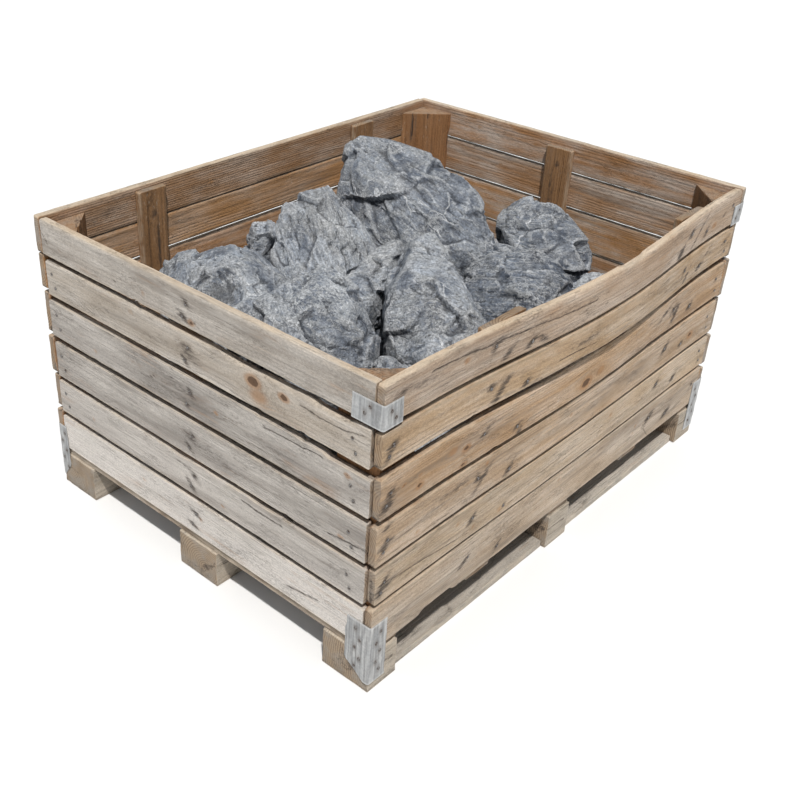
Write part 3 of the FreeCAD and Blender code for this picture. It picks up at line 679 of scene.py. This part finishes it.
# Looks of single boards, bottom row first.
FRONT_LOOKS = [
    dict(tone=srgb(184, 163, 140), cracks=[(0.435, 0.178, 0.474, 0.130, 0.0016, 0.006)],
         smears=[(-0.45, 0.197, 0.035, 0.009, 0.9, 0.9), (-0.30, 0.168, 0.016, 0.006, 0.7, 0.8)],
         bottom=[(-0.62, 0.0), (-0.61, 0.010), (-0.50, 0.012), (-0.49, 0.0)]),
    dict(tone=srgb(184, 161, 134), cracks=[(-0.79, 0.318, -0.44, 0.279, 0.0018, 0.005)],
         smears=[(-0.765, 0.305, 0.040, 0.016, 0.25, 1.0), (-0.443, 0.317, 0.032, 0.010, 1.0, 1.0),
                 (0.134, 0.30, 0.05, 0.006, 1.0, 0.45)],
         knots=[(-0.325, 0.287, 0.006, 0.9)]),
    dict(tone=srgb(180, 153, 124), bottom_wane=[(-0.8, 0.0), (-0.2, 0.0), (0.1, 0.003), (0.5, 0.0)],
         smears=[(-0.765, 0.474, 0.028, 0.010, 0.5, 0.8), (-0.765, 0.428, 0.045, 0.010, 0.5, 0.9),
                 (-0.42, 0.43, 0.045, 0.010, 0.9, 1.1), (0.469, 0.442, 0.035, 0.009, 1.1, 0.9),
                 (-0.53, 0.45, 0.09, 0.012, 0.12, 0.55)],
         knots=[(0.625, 0.424, 0.011, 0.85)]),
    dict(tone=srgb(174, 142, 108),
         top=[(-0.8, 0.0), (-0.30, 0.0), (-0.20, 0.003), (0.02, 0.006), (0.15, 0.010), (0.19, 0.006),
              (0.25, 0.002), (0.34, 0.0)],
         top_wane=[(-0.45, 0.0), (-0.25, 0.010), (0.0, 0.022), (0.17, 0.028), (0.30, 0.006), (0.4, 0.0)],
         bottom_wane=[(0.0, 0.0), (0.1, 0.004), (0.35, 0.008), (0.6, 0.0)],
         knots=[(-0.662, 0.534, 0.008, 0.95), (-0.501, 0.556, 0.009, 0.95), (-0.507, 0.512, 0.008, 0.9),
                (-0.016, 0.532, 0.016, 1.0), (0.05, 0.545, 0.012, 0.6), (-0.55, 0.57, 0.01, 0.6)],
         smears=[(-0.772, 0.54, 0.030, 0.018, 0.7, 1.1), (-0.431, 0.573, 0.030, 0.009, 0.5, 0.9),
                 (-0.296, 0.515, 0.022, 0.010, 1.6, 0.9), (0.473, 0.549, 0.035, 0.012, 1.3, 1.2),
                 (0.40, 0.575, 0.05, 0.010, 0.5, 0.8)]),
    dict(tone=srgb(174, 146, 114),
         bottom=[(-0.8, 0.0), (-0.15, 0.003), (-0.03, 0.0), (0.30, 0.0), (0.8, 0.0)],
         bottom_wane=[(-0.30, 0.0), (-0.1, 0.004), (0.2, 0.003), (0.3, 0.0)],
         cracks=[(-0.20, 0.667, -0.02, 0.66, 0.0012, 0.003)],
         knots=[(0.173, 0.609, 0.008, 0.9), (0.12, 0.632, 0.007, 0.8), (-0.28, 0.628, 0.006, 0.9)],
         smears=[(-0.403, 0.669, 0.040, 0.012, 1.0, 1.1), (-0.293, 0.623, 0.035, 0.012, 1.0, 1.0),
                 (-0.765, 0.676, 0.035, 0.010, 0.9, 0.9), (0.48, 0.665, 0.05, 0.008, 1.2, 0.9),
                 (-0.09, 0.685, 0.10, 0.008, 0.05, 0.6), (0.60, 0.69, 0.05, 0.006, 0.6, 0.6)]),
    dict(tone=srgb(166, 142, 119),
         top=[(-0.8, 0.0), (-0.38, 0.003), (-0.25, 0.006), (0.05, 0.006), (0.075, 0.011), (0.16, 0.010),
              (0.175, 0.004), (0.8, 0.0)],
         top_wane=[(-0.8, 0.002), (-0.5, 0.007), (-0.2, 0.009), (0.1, 0.012), (0.3, 0.007), (0.8, 0.004)],
         bottom=[(-0.8, 0.008), (-0.66, 0.0), (0.8, 0.0)],
         cracks=[(-0.655, 0.824, -0.06, 0.800, 0.0014, 0.004)],
         smears=[(-0.75, 0.805, 0.045, 0.010, 0.1, 0.8), (-0.68, 0.80, 0.09, 0.010, -0.05, 0.55),
                 (-0.387, 0.767, 0.040, 0.010, 0.8, 0.9), (-0.27, 0.76, 0.03, 0.010, -0.6, 0.8),
                 (0.403, 0.761, 0.025, 0.013, 0.9, 1.2), (0.52, 0.79, 0.08, 0.006, 0.9, 0.8),
                 (0.68, 0.79, 0.03, 0.008, 0.8, 0.7)],
         knots=[(0.62, 0.775, 0.008, 0.7)]),
]
LEFT_LOOKS = [
    dict(tone=srgb(218, 211, 204), cracks=[(-0.44, 0.183, -0.32, 0.163, 0.0012, 0.003)],
         smears=[(0.326, 0.215, 0.02, 0.004, -0.6, 0.7)]),
    dict(tone=srgb(182, 175, 168), cracks=[(-0.318, 0.338, -0.168, 0.338, 0.0015, 0.004)],
         top=[(-0.35, 0.0), (-0.24, 0.004), (-0.2, 0.0), (0.0, 0.0), (0.06, 0.004), (0.10, 0.0)],
         smears=[(0.04, 0.336, 0.04, 0.004, 0.1, 0.8)]),
    dict(tone=srgb(166, 159, 152), cracks=[(-0.569, 0.411, -0.447, 0.398, 0.0012, 0.003)],
         smears=[(0.009, 0.434, 0.045, 0.016, 0.3, 0.8), (-0.10, 0.42, 0.09, 0.018, 0.2, 0.5)]),
    dict(tone=srgb(160, 153, 146), cracks=[(-0.442, 0.598, -0.25, 0.588, 0.0042, 0.016)],
         top=[(-0.575, 0.008), (-0.445, 0.007), (-0.44, 0.0), (0.6, 0.0)],
         knots=[(-0.51, 0.583, 0.006, 0.8)],
         smears=[(0.148, 0.548, 0.03, 0.003, -0.9, 0.9), (0.05, 0.57, 0.07, 0.02, 0.2, 0.5)]),
    dict(tone=srgb(176, 164, 150),
         knots=[(-0.221, 0.692, 0.014, 1.15), (-0.318, 0.692, 0.009, 1.15), (-0.238, 0.66, 0.020, 0.50)],
         top=[(-0.575, 0.0), (-0.52, 0.004), (-0.50, 0.010), (-0.42, 0.009), (-0.40, 0.002), (-0.26, 0.006),
              (-0.18, 0.008), (-0.09, 0.002), (0.2, 0.001), (0.6, 0.0)],
         top_wane=[(-0.575, 0.003), (-0.45, 0.008), (-0.2, 0.010), (-0.05, 0.004), (0.2, 0.007),
                   (0.5, 0.004)],
         cracks=[(-0.56, 0.708, -0.36, 0.702, 0.0014, 0.004)],
         smears=[(0.0, 0.675, 0.05, 0.022, 0.3, 0.75)]),
    dict(tone=srgb(172, 163, 153), cracks=[(0.543, 0.767, 0.573, 0.812, 0.0024, 0.008)],
         top_wane=[(-0.575, 0.004), (-0.3, 0.007), (0.1, 0.003), (0.6, 0.005)],
         knots=[(-0.016, 0.760, 0.007, 0.9)],
         smears=[(0.55, 0.79, 0.028, 0.005, -1.2, 0.9), (-0.03, 0.762, 0.018, 0.004, 0.5, 0.9),
                 (0.27, 0.768, 0.006, 0.003, 0.0, 1.2)]),
]
WARM = [srgb(176, 128, 84), srgb(164, 120, 80), srgb(182, 136, 90), srgb(158, 118, 80), srgb(172, 130, 92),
        srgb(180, 136, 92)]


def wall_boards():
    for wall, place in WALLS.items():
        for row in range(1, 7):
            node = f"{wall}_board_{row}"
            lowest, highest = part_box(node)
            axis = 0 if wall in ("front", "back") else 1
            low, high = lowest.z, highest.z
            looks = {"front": FRONT_LOOKS, "left_end": LEFT_LOOKS}.get(wall)
            seed = 100 * list(WALLS).index(wall) + row
            chance = random.Random(seed)
            if looks:
                settings = dict(looks[row - 1])
            else:
                middle = srgb(176, 152, 126) if wall == "back" else srgb(170, 156, 142)
                settings = dict(tone=middle * chance.uniform(0.85, 1.1), rough=0.25,
                                cracks=[(chance.uniform(-0.5, 0.2), low + 0.5 * (high - low), 0.5,
                                         low + 0.45 * (high - low), 0.0015, 0.004)])
            plank(f"{wall}_plank_{row}", place, lowest[axis], highest[axis], low, high, BOARD, seed,
                  inner_tone=WARM[(row + seed) % 6] * chance.uniform(0.85, 1.1),
                  material=LONG_WOOD if axis == 0 else END_WOOD,
                  slot="long_boards" if axis == 0 else "end_boards", nodes=[node],
                  nails=nails_in(wall, low, high), corner=0.007 if wall == "front" else 0.005,
                  gap_shade=0.95, rim=row == 6, nail_stain=STAINED[axis], **settings)


# ---- inside timber ---------------------------------------------------------------------------
POST_TONE = srgb(150, 112, 76)


def battens():
    for wall, ends in (("front", ("left", "right")), ("back", ("left", "right"))):
        for end in ends:
            upright(f"batten_{wall}_{end}", 0, 1 if wall == "front" else -1, 2 if wall == "front" else 4)
    upright("batten_left_end", 1, 1, 6)
    upright("batten_right_end", 1, -1, 8)


def upright(node, width_axis, out, seed):
    """Upright board against a wall; its outer face looks into the bin."""
    lowest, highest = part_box(node)
    depth_axis = 1 - width_axis
    face = highest[depth_axis] if out > 0 else lowest[depth_axis]
    push = highest[depth_axis] - lowest[depth_axis] - BOARD

    def place(a, t, w):
        spot = [None, None, a]
        spot[width_axis] = t
        lean = push * np.interp(a, BATTEN_EDGES, BATTEN_LEAN)
        spot[depth_axis] = face - out * (w + lean)
        return stack(*spot)

    low, high = lowest[width_axis], highest[width_axis]
    seed += 500 + int(low * 100)
    plank(node + "_timber", place, lowest.z, highest.z, low, high, BOARD, seed, POST_TONE,
          material=INNER_WOOD, slot="inner_wood", nodes=[node],
          top_wane=[(0.15, 0.004), (0.6, 0.012), (0.85, 0.006)], wane_depth=0.006,
          cracks=[(0.42, low + 0.3 * (high - low), 0.80, low + 0.26 * (high - low), 0.0022, 0.008)],
          smears=[(0.76, low + 0.5 * (high - low), 0.012, 0.010, 0.0, 0.9),
                  (0.66, low + 0.6 * (high - low), 0.09, 0.012, 0.03, 0.7)])


def corner_posts():
    """Triangular posts with split, checked faces."""
    for wall, sy in (("front", -1), ("back", 1)):
        for end, sx in (("left", -1), ("right", 1)):
            node = f"corner_post_{wall}_{end}"
            lowest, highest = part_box(node)
            seed = 700 + 3 * sx + sy
            corner_x = highest.x if sx > 0 else lowest.x
            corner_y = highest.y if sy > 0 else lowest.y
            leg = highest.x - lowest.x
            tips = [np.array((0.0, 0.0)), np.array((leg, 0.0)), np.array((0.0, leg))]
            outline = []
            for here, there in zip(tips, tips[1:] + tips[:1]):
                steps = int(np.linalg.norm(there - here) / 0.007)
                for k in range(steps):
                    share = min(max(k / steps, 0.015), 0.985)
                    outline.append(here + (there - here) * share)
            outline = np.array(outline)
            centre = outline.mean(0)
            z = np.concatenate([np.linspace(lowest.z, highest.z - 0.008, 60),
                                highest.z - np.array([0.004, 0.0015, 0.0])])
            count = len(outline)
            u = np.repeat(z, count)
            around = np.tile(outline, (len(z), 1))
            out = (around - centre) / np.linalg.norm(around - centre, axis=1, keepdims=True)
            rough = fractal(np.column_stack([around * 45, u * 4]), seed, 3)
            split = smooth(ridged(np.column_stack([around * 28, u * 2.2]), seed + 4, 2), 1.15, 1.42)
            shrink = 0.0012 * np.clip(1 - (highest.z - u) / 0.0015, 0, 1)
            around = around - out * (0.0012 * (1 + rough) + 0.006 * split + shrink)[:, None]
            points = stack(corner_x - sx * around[:, 0], corner_y - sy * around[:, 1], u)
            end_mark = np.clip(1 - (highest.z - u) / 0.001, 0, 1)
            grain = np.column_stack([u + seed, around[:, 0] - 0.03, around[:, 1] + 0.02])
            tone = np.tile(srgb(146, 104, 68), (len(u), 1)) * (1 + 0.12 * rough)[:, None]
            # The splits are darkened through the stain attribute: painted shade in them.
            attributes = dict(grain=grain, tone=tone, stain=0.75 * split, knot=np.zeros(len(u)),
                              worn=0.6 * end_mark, end=0.45 * end_mark)
            make(node + "_timber", points, loft_faces(len(z), count), attributes, INNER_WOOD, [node])


# ---- pallet base -----------------------------------------------------------------------------
BASE_TONE = srgb(178, 166, 150)


def box_planks(node, axis, seed, tone, **settings):
    """A plank for each solid of a node, along X (0) or Y (1), with its outer face up."""
    parts = []
    for i, points in enumerate(islands(node)):
        lowest, highest = points.min(0), points.max(0)

        def place(a, t, w, top=highest[2]):
            return stack(a, t, top - w) if axis == 0 else stack(t, a, top - w)

        parts.append(plank("", place, lowest[axis], highest[axis], lowest[1 - axis], highest[1 - axis],
                           highest[2] - lowest[2], seed + i, tone, build=False, **settings))
    return parts


def base():
    for i, row in enumerate(("front", "middle", "back")):
        blocks = []
        for k, points in enumerate(islands(f"foot_blocks_{row}")):
            lowest, highest = points.min(0), points.max(0)
            outward = 1 if row == "back" else -1
            face = highest[1] if row == "back" else lowest[1]

            def place(a, t, w, face=face, outward=outward):
                return stack(a, face - outward * w, t)

            z = 0.5 * highest[2]
            split = (lowest[0], z + 0.012, lowest[0] + 0.09, z + 0.004, 0.0024, 0.012)
            blocks.append(plank("", place, lowest[0], highest[0], 0.0, highest[2], highest[1] - lowest[1],
                                820 + 10 * i + k, BASE_TONE, cracks=[split], rough=0.35, corner=0.004,
                                step=0.008, foot_shade=0.35, build=False))
        joined(f"foot_blocks_{row}_timber", blocks, BASE_WOOD, [f"foot_blocks_{row}"])
        skids = box_planks(f"skid_boards_{row}", 0, 860 + 10 * i, srgb(176, 168, 158), rough=0.8)
        joined(f"skid_boards_{row}_timber", skids, BASE_WOOD, [f"skid_boards_{row}"])
    cross = box_planks("cross_boards", 1, 900, srgb(140, 122, 104), rough=0.8)
    joined("cross_boards_timber", cross, BASE_WOOD, ["cross_boards"])
    floor = box_planks("floor_boards", 0, 930, srgb(132, 108, 84), rough=0.8, step=0.03, rows=0.012)
    joined("floor_boards_timber", floor, BASE_WOOD, ["floor_boards"])


# ---- irons and nails -------------------------------------------------------------------------
SHEET = 0.002          # thickness of the corner irons
BEND = 0.006           # outer radius of their bend
X_STEPS, Y_STEPS = 10, 12


def corner_irons(node, piece_name, seed, pointed):
    """Sheet bent round each outer corner, with a soft bend, wavy edges and, at the foot, a leg that is
    cut off slanting towards the bottom."""
    parts = []
    for i, solid in enumerate(islands(node)):
        lowest, highest = solid.min(0), solid.max(0)
        sx = 1 if lowest[0] > 0 else -1
        sy = 1 if lowest[1] > 0 else -1
        outer = np.array([highest[0] if sx > 0 else lowest[0], highest[1] if sy > 0 else lowest[1]])
        leg_x, leg_y = highest[0] - lowest[0], highest[1] - lowest[1]
        run_x = np.linspace(leg_x, BEND, X_STEPS)
        run_y = np.linspace(BEND, leg_y, Y_STEPS)
        arc = np.radians(np.linspace(90, 0, 7))[1:-1]
        path = np.array([(x, 0.0) for x in run_x]
                        + [(BEND - BEND * math.cos(q), BEND - BEND * math.sin(q)) for q in arc]
                        + [(0.0, y) for y in run_y])
        towards = [(0.0, 1.0)] * X_STEPS + [(math.cos(q), math.sin(q)) for q in arc] + [(1.0, 0.0)] * Y_STEPS
        inside = path + SHEET * np.array(towards)
        z = np.linspace(lowest[2], highest[2], 24 if pointed else 12)
        wave = 0.0006 * along(z, 40.0, seed + i)
        points, worn = [], []
        ring = np.concatenate([path, inside[::-1]])
        for k, height in enumerate(z):
            section = ring.copy()
            if pointed:
                share = (height - lowest[2]) / (highest[2] - lowest[2])
                keep = leg_y * min(1.0, 0.20 + 0.80 * share / 0.24) * (1 - 0.05 * smooth(share, 0.80, 0.84))
                on_y = section[:, 1] > BEND
                section[on_y, 1] = BEND + (section[on_y, 1] - BEND) * (keep - BEND) / (leg_y - BEND)
            section = section + wave[k] * np.sign(section - BEND)
            points.append(stack(outer[0] - sx * section[:, 0], outer[1] - sy * section[:, 1], height))
            rim = min(height - lowest[2], highest[2] - height) < 0.003
            worn.append(np.full(len(ring), 1.0 if rim else 0.15))
        points = np.concatenate(points)
        stain = np.zeros(len(points))
        for nail in IRON_NAILS:
            d = np.linalg.norm((points - nail) * (1, 1, 0.55), axis=1)
            stain = np.maximum(stain, 0.9 * np.exp(-(d / 0.009) ** 2))
        parts.append((points, loft_faces(len(z), len(ring)), dict(stain=stain, worn=np.concatenate(worn))))
    joined(piece_name, parts, ZINC, [node])


# Shank and head of a nail: share of the head's radius, and height over the wood's face.
NAIL_PROFILE = [(0.34, -0.030), (0.36, -0.0018), (0.94, -0.0014), (1.0, -0.0009), (0.93, -0.0003),
                (0.6, -0.0001), (0.25, 0.0)]
NAIL_SIDES = 14


def nail_heads(node, piece_name, seed):
    """Flat round heads, hammered slightly askew, each with its shank."""
    parts = []
    chance = random.Random(seed)
    for solid in islands(node):
        lowest, highest = solid.min(0), solid.max(0)
        size = highest - lowest
        axis = 0 if size[0] > size[1] else 1
        sign = 1 if (lowest + highest)[axis] > 0 else -1
        face = highest[axis] if sign > 0 else lowest[axis]
        centre = (lowest + highest) / 2
        radius = 0.5 * size[2]
        tilt = (chance.uniform(-0.05, 0.05), chance.uniform(-0.05, 0.05))
        points = []
        for reach, depth in NAIL_PROFILE:
            for k in range(NAIL_SIDES):
                q = 2 * math.pi * k / NAIL_SIDES
                u = radius * reach * math.cos(q) * (1 + 0.04 * math.sin(3 * q + seed))
                v = radius * reach * math.sin(q)
                out = depth + (tilt[0] * u + tilt[1] * v if depth > -0.01 else 0.0) - 0.0003
                spot = centre.copy()
                spot[axis] = face + sign * out
                spot[1 - axis] += u
                spot[2] += v
                points.append(spot)
        parts.append((np.array(points), loft_faces(len(NAIL_PROFILE), NAIL_SIDES), {}))
    joined(piece_name, parts, STEEL, [node])


def outer_ends(node):
    """Where each nail of a node meets the outside of the bin."""
    ends = []
    for solid in islands(node):
        lowest, highest = solid.min(0), solid.max(0)
        end = (lowest + highest) / 2
        driven = 0 if (highest - lowest)[0] > (highest - lowest)[1] else 1
        end[driven] = highest[driven] if end[driven] > 0 else lowest[driven]
        ends.append(end)
    return ends


IRON_NAILS = outer_ends("iron_nails")


# ---- stone -----------------------------------------------------------------------------------
def remeshed(points, voxel):
    """Even mesh over the convex hull of some points: its points and quads."""
    bm = bmesh.new()
    for p in points:
        bm.verts.new(p)
    hull = bmesh.ops.convex_hull(bm, input=bm.verts)
    bmesh.ops.delete(bm, geom=[v for v in hull["geom_interior"] if isinstance(v, bmesh.types.BMVert)],
                     context="VERTS")
    bmesh.ops.recalc_face_normals(bm, faces=bm.faces)
    mesh = bpy.data.meshes.new("rough")
    bm.to_mesh(mesh)
    bm.free()
    rough = bpy.data.objects.new("rough", mesh)
    bpy.context.scene.collection.objects.link(rough)
    grid = rough.modifiers.new("grid", "REMESH")
    grid.mode = "VOXEL"
    grid.voxel_size = voxel
    bpy.context.view_layer.update()
    made = bpy.data.meshes.new_from_object(rough.evaluated_get(bpy.context.evaluated_depsgraph_get()))
    co = np.empty(len(made.vertices) * 3)
    made.vertices.foreach_get("co", co)
    corners = np.empty(len(made.loops), np.int64)
    made.loops.foreach_get("vertex_index", corners)
    quads = corners.reshape(-1, 4)
    bpy.data.objects.remove(rough)
    bpy.data.meshes.remove(mesh)
    bpy.data.meshes.remove(made)
    return co.reshape(-1, 3), quads


def vertex_normals(points, quads):
    a, b, c, d = (points[quads[:, i]] for i in range(4))
    face = np.cross(c - a, d - b)
    normals = np.zeros_like(points)
    for i in range(4):
        np.add.at(normals, quads[:, i], face)
    return normals / np.maximum(np.linalg.norm(normals, axis=1, keepdims=True), 1e-12)


def relaxed(values, quads, times):
    """Values smoothed over the mesh."""
    edges = np.concatenate([quads[:, [i, (i + 1) % 4]] for i in range(4)])
    count = np.zeros(len(values))
    np.add.at(count, edges[:, 0], 1)
    np.add.at(count, edges[:, 1], 1)
    for _ in range(times):
        total = np.zeros_like(values)
        np.add.at(total, edges[:, 0], values[edges[:, 1]])
        np.add.at(total, edges[:, 1], values[edges[:, 0]])
        values = total / (count[:, None] if values.ndim > 1 else count)
    return values


def facets(p, cell, seed, tilt, lift):
    """Patches with flat tilted tops that meet in soft steps."""
    q = p / cell
    base = np.floor(q).astype(np.int64)
    total = np.zeros(len(q))
    weight = np.zeros(len(q))
    for dx in (-1, 0, 1):
        for dy in (-1, 0, 1):
            for dz in (-1, 0, 1):
                at = (base[:, 0] + dx, base[:, 1] + dy, base[:, 2] + dz)
                spot = np.column_stack([c + lattice(*at, seed + k) for k, c in enumerate(at)])
                away = q - spot
                w = np.exp(-60 * (away ** 2).sum(1))
                slope = np.column_stack([2 * lattice(*at, seed + 5 + k) - 1 for k in range(3)])
                total += w * (lift * lattice(*at, seed + 9) + tilt * cell * (slope * away).sum(1))
                weight += w
    return total / weight


PROUD_LIMIT = 0.012    # how far a stone may stand out of its CAD hull


def scooped(points, at, normal, radius, depth):
    """Points pushed out of a ball that sinks to this depth under one of them."""
    centre = at + normal * (radius - depth)
    away = points - centre
    distance = np.linalg.norm(away, axis=1, keepdims=True)
    return np.where(distance < radius, centre + away / np.maximum(distance, 1e-9) * radius, points)


def soft_normals(points, quads, times):
    normals = relaxed(vertex_normals(points, quads), quads, times)
    return normals / np.linalg.norm(normals, axis=1, keepdims=True)


def break_stone(solid, seed, voxel, layer_way, layer_step, layers, chips, scoops, dusty, dark, hollows=()):
    """A quarried block inside its CAD hull: flat breaks, hollows, ledges along its layers, rough grain."""
    chance = random.Random(seed)
    points, quads = remeshed(solid, voxel)
    size = float(np.linalg.norm(solid.max(0) - solid.min(0))) / 1.7
    way = np.array(Vector(layer_way).normalized())
    for _ in range(chips):
        z = chance.uniform(-0.25, 1.0)
        turn = chance.uniform(0, 2 * math.pi)
        flat = math.sqrt(1 - z * z)
        n = np.array([flat * math.cos(turn), flat * math.sin(turn), z])
        limit = (solid @ n).max() - size * chance.uniform(0.003, 0.050)
        points = points - np.maximum(points @ n - limit, 0)[:, None] * n
    normals = soft_normals(points, quads, 3)
    for _ in range(scoops):
        i = chance.randrange(len(points))
        radius = size * chance.uniform(0.5, 1.3)
        depth = size * chance.uniform(0.005, 0.018)
        points = scooped(points, points[i], normals[i], radius, depth)
    for x, y, z, radius, depth in hollows:
        i = int(np.argmin(np.linalg.norm(points - (x, y, z), axis=1)))
        points = scooped(points, points[i], normals[i], radius, depth)
    normals = soft_normals(points, quads, 2)
    frame_a = np.cross(way, (0.31, 0.77, 0.55))
    frame_a /= np.linalg.norm(frame_a)
    frame_b = np.cross(way, frame_a)
    slab = np.column_stack([points @ frame_a, points @ frame_b, points @ way])
    bent = slab + 0.004 * np.column_stack([fractal(slab * 14 + k, seed + k, 3) for k in (1, 5, 9)])
    level = bent[:, 2] / layer_step + 0.3 * fractal(points * 5.0, seed + 1, 2)
    which = np.floor(level)
    part = level - which
    inset = lattice(which.astype(np.int64), np.full(len(points), 5), np.full(len(points), 9), seed)
    patchy = smooth(fractal(points * 4.0, seed + 13, 2), -0.35, 0.35)
    across = (1 - np.abs(normals @ way) ** 1.5) * patchy
    amount = 0.7 * layers * across * (0.7 * inset + 0.3 * part)
    amount += facets(bent * (1, 1, 1.5), 0.14 * size / 0.42, seed + 3, 0.16, 0.010)
    amount += facets(bent * (1, 1, 1.8), 0.060, seed + 4, 0.08, 0.0020)
    amount += facets(bent * (1, 1, 2.2), 0.024, seed + 6, 0.05, 0.0005)
    amount += 0.0022 * smooth(fractal(bent * (9.0, 9.0, 34.0), seed + 2, 3, 0.55), -0.06, 0.06)
    amount += 0.0007 * fractal(bent * (15.0, 15.0, 55.0), seed + 2, 3, 0.55)
    amount -= amount.mean() + 0.004
    points = points - normals * np.clip(amount, -PROUD_LIMIT, None)[:, None]
    lift = relaxed(points, quads, 4)
    normals = vertex_normals(points, quads)
    # crest is above 0 on ridges and below 0 in hollows, where the material paints shade.
    crest = ((points - lift) * normals).sum(1) / (0.30 * voxel)
    up = smooth(normals[:, 2], 0.15, 0.95)
    dust = dusty * up * (0.6 + 0.4 * np.clip(fractal(points * 6.0, seed + 6, 3), -1, 1))
    layer = np.column_stack([points @ frame_a * 5.0, points @ frame_b * 5.0, points @ way * 55.0]) + seed
    attributes = dict(crest=np.clip(crest, -1, 1), dust=dust, shade=np.full(len(points), dark), layer=layer)
    return points, quads.tolist(), attributes


def carve(name, looks):
    points, faces, attributes = break_stone(islands(name)[0], *looks)
    make(name + "_rock", points, faces, attributes, STONE, [name], body=name,
         sharp=math.radians(32))


# Seed, voxel, way across the layers, layer step, ledge depth, chips, scoops, dust, darkness and hollows.
STONE_LOOKS = {
    "stone_crown": (31, 0.0055, (0.55, -0.25, 0.8), 0.026, 0.009, 34, 8, 0.45, 0.55),
    "stone_pointed": (32, 0.005, (0.75, -0.55, 0.35), 0.022, 0.008, 30, 6, 0.75, 0.0),
    "stone_chip": (33, 0.004, (0.2, 0.3, 0.9), 0.02, 0.003, 20, 6, 0.5, 0.1),
    "stone_left": (34, 0.005, (0.25, -0.35, 0.9), 0.024, 0.007, 30, 8, 0.45, 0.35,
                   [(-0.66, 0.03, 0.785, 0.085, 0.045)]),
    "stone_layered": (35, 0.005, (0.35, -0.3, 0.89), 0.016, 0.017, 22, 4, 0.15, 0.45),
    "stone_wedge": (36, 0.0045, (0.3, 0.5, 0.8), 0.02, 0.005, 26, 10, 0.9, 0.0),
    "stone_dome": (37, 0.005, (0.8, 0.5, 0.3), 0.028, 0.005, 34, 8, 0.7, 0.1),
    "stone_dark": (38, 0.005, (0.5, 0.3, 0.8), 0.024, 0.007, 32, 10, 0.12, 1.0),
    "stone_round": (39, 0.005, (0.2, 0.1, 0.97), 0.034, 0.003, 40, 5, 0.3, 0.75),
    "stone_corner": (40, 0.0045, (0.2, 0.5, 0.8), 0.02, 0.004, 26, 10, 0.5, 0.1),
    "stone_low": (41, 0.0045, (0.1, 0.4, 0.9), 0.02, 0.004, 26, 10, 0.3, 0.3),
}


LOOSE_LOOKS = (0.026, 0.006, 36, 14, 0.5)     # layer step, ledge depth, chips, scoops and dust


def loose_layers():
    """The stones under and beside the heap."""
    for node, voxel in (("fill_stones", 0.014), ("side_stones", 0.0085)):
        parts = []
        for i, solid in enumerate(islands(node)):
            chance = random.Random(i + 900)
            way = (chance.uniform(-1, 1), chance.uniform(-1, 1), 1.0)
            dark = chance.uniform(0.0, 0.5)
            parts.append(break_stone(solid, 60 + i, voxel, way, *LOOSE_LOOKS, dark))
        joined(node + "_rocks", parts, STONE, [node])


# ---- setting ---------------------------------------------------------------------------------
SUN_WAY = (-0.36, -0.377, 1.0)
SUN_STRENGTH = 3.4
SKY_STRENGTH = 0.42
FLOOR_REACH = 400.0


def studio():
    """Pale floor, soft sky and one soft high lamp from the front left."""
    n = Nodes("pale_floor")
    at = n.object_coordinates()
    pale = n.mix(n.noise(at, 1.3, 3.0), (0.80, 0.80, 0.80), (0.84, 0.84, 0.84))
    material = n.finish(pale, 0.9, None)
    mesh = bpy.data.meshes.new("floor")
    mesh.from_pydata([(x * FLOOR_REACH, y * FLOOR_REACH, 0) for x, y in ((-1, -1), (1, -1), (1, 1), (-1, 1))],
                     [], [(0, 1, 2, 3)])
    mesh.materials.append(material)
    floor = bpy.data.objects.new("floor", mesh)
    floor.location.z = -0.0005
    bpy.context.scene.collection.objects.link(floor)

    world = bpy.data.worlds.new("sky")
    world.use_nodes = True
    sky = world.node_tree.nodes["Background"]
    sky.inputs["Color"].default_value = (0.86, 0.93, 1.0, 1.0)
    sky.inputs["Strength"].default_value = SKY_STRENGTH
    bpy.context.scene.world = world

    lamp = bpy.data.lights.new("key", "SUN")
    lamp.energy = SUN_STRENGTH
    lamp.angle = math.radians(2.5)
    lamp.color = (1.0, 0.975, 0.94)
    key = bpy.data.objects.new("key", lamp)
    key.rotation_euler = Vector(SUN_WAY).to_track_quat("Z", "Y").to_euler()
    bpy.context.scene.collection.objects.link(key)
    bpy.context.scene.view_settings.view_transform = "Standard"


def camera():
    """Stands off the near corner, above the rim."""
    azimuth, elevation, roll = math.radians(-48.10), math.radians(31.75), math.radians(1.96)
    target = Vector((0.1079, 0.3438, 0.0))
    distance = 3.6368
    focal = 1073.3                     # in widths of a picture 800 wide
    back = Vector((math.sin(azimuth) * math.cos(elevation), -math.cos(azimuth) * math.cos(elevation),
                   math.sin(elevation)))
    right = (-back).cross(Vector((0, 0, 1))).normalized()
    up = right.cross(-back)
    right, up = (math.cos(roll) * right + math.sin(roll) * up, -math.sin(roll) * right + math.cos(roll) * up)
    data = bpy.data.cameras.new("camera")
    data.sensor_width = 36.0
    data.lens = focal / 800 * 36.0
    data.shift_x = 0.08
    data.clip_end = 100.0
    view = bpy.data.objects.new("camera", data)
    turn = Matrix((right, up, back)).transposed().to_4x4()
    view.matrix_world = Matrix.Translation(target + back * distance) @ turn
    bpy.context.scene.collection.objects.link(view)
    bpy.context.scene.camera = view


wall_boards()
battens()
corner_posts()
base()
corner_irons("top_corner_irons", "top_corner_plates", 40, False)
corner_irons("foot_corner_irons", "foot_corner_plates", 50, True)
nail_heads("wall_nails", "wall_nail_heads", 3)
nail_heads("iron_nails", "iron_nail_heads", 4)
for stone_name, stone_looks in STONE_LOOKS.items():
    carve(stone_name, stone_looks)
loose_layers()
studio()
camera()
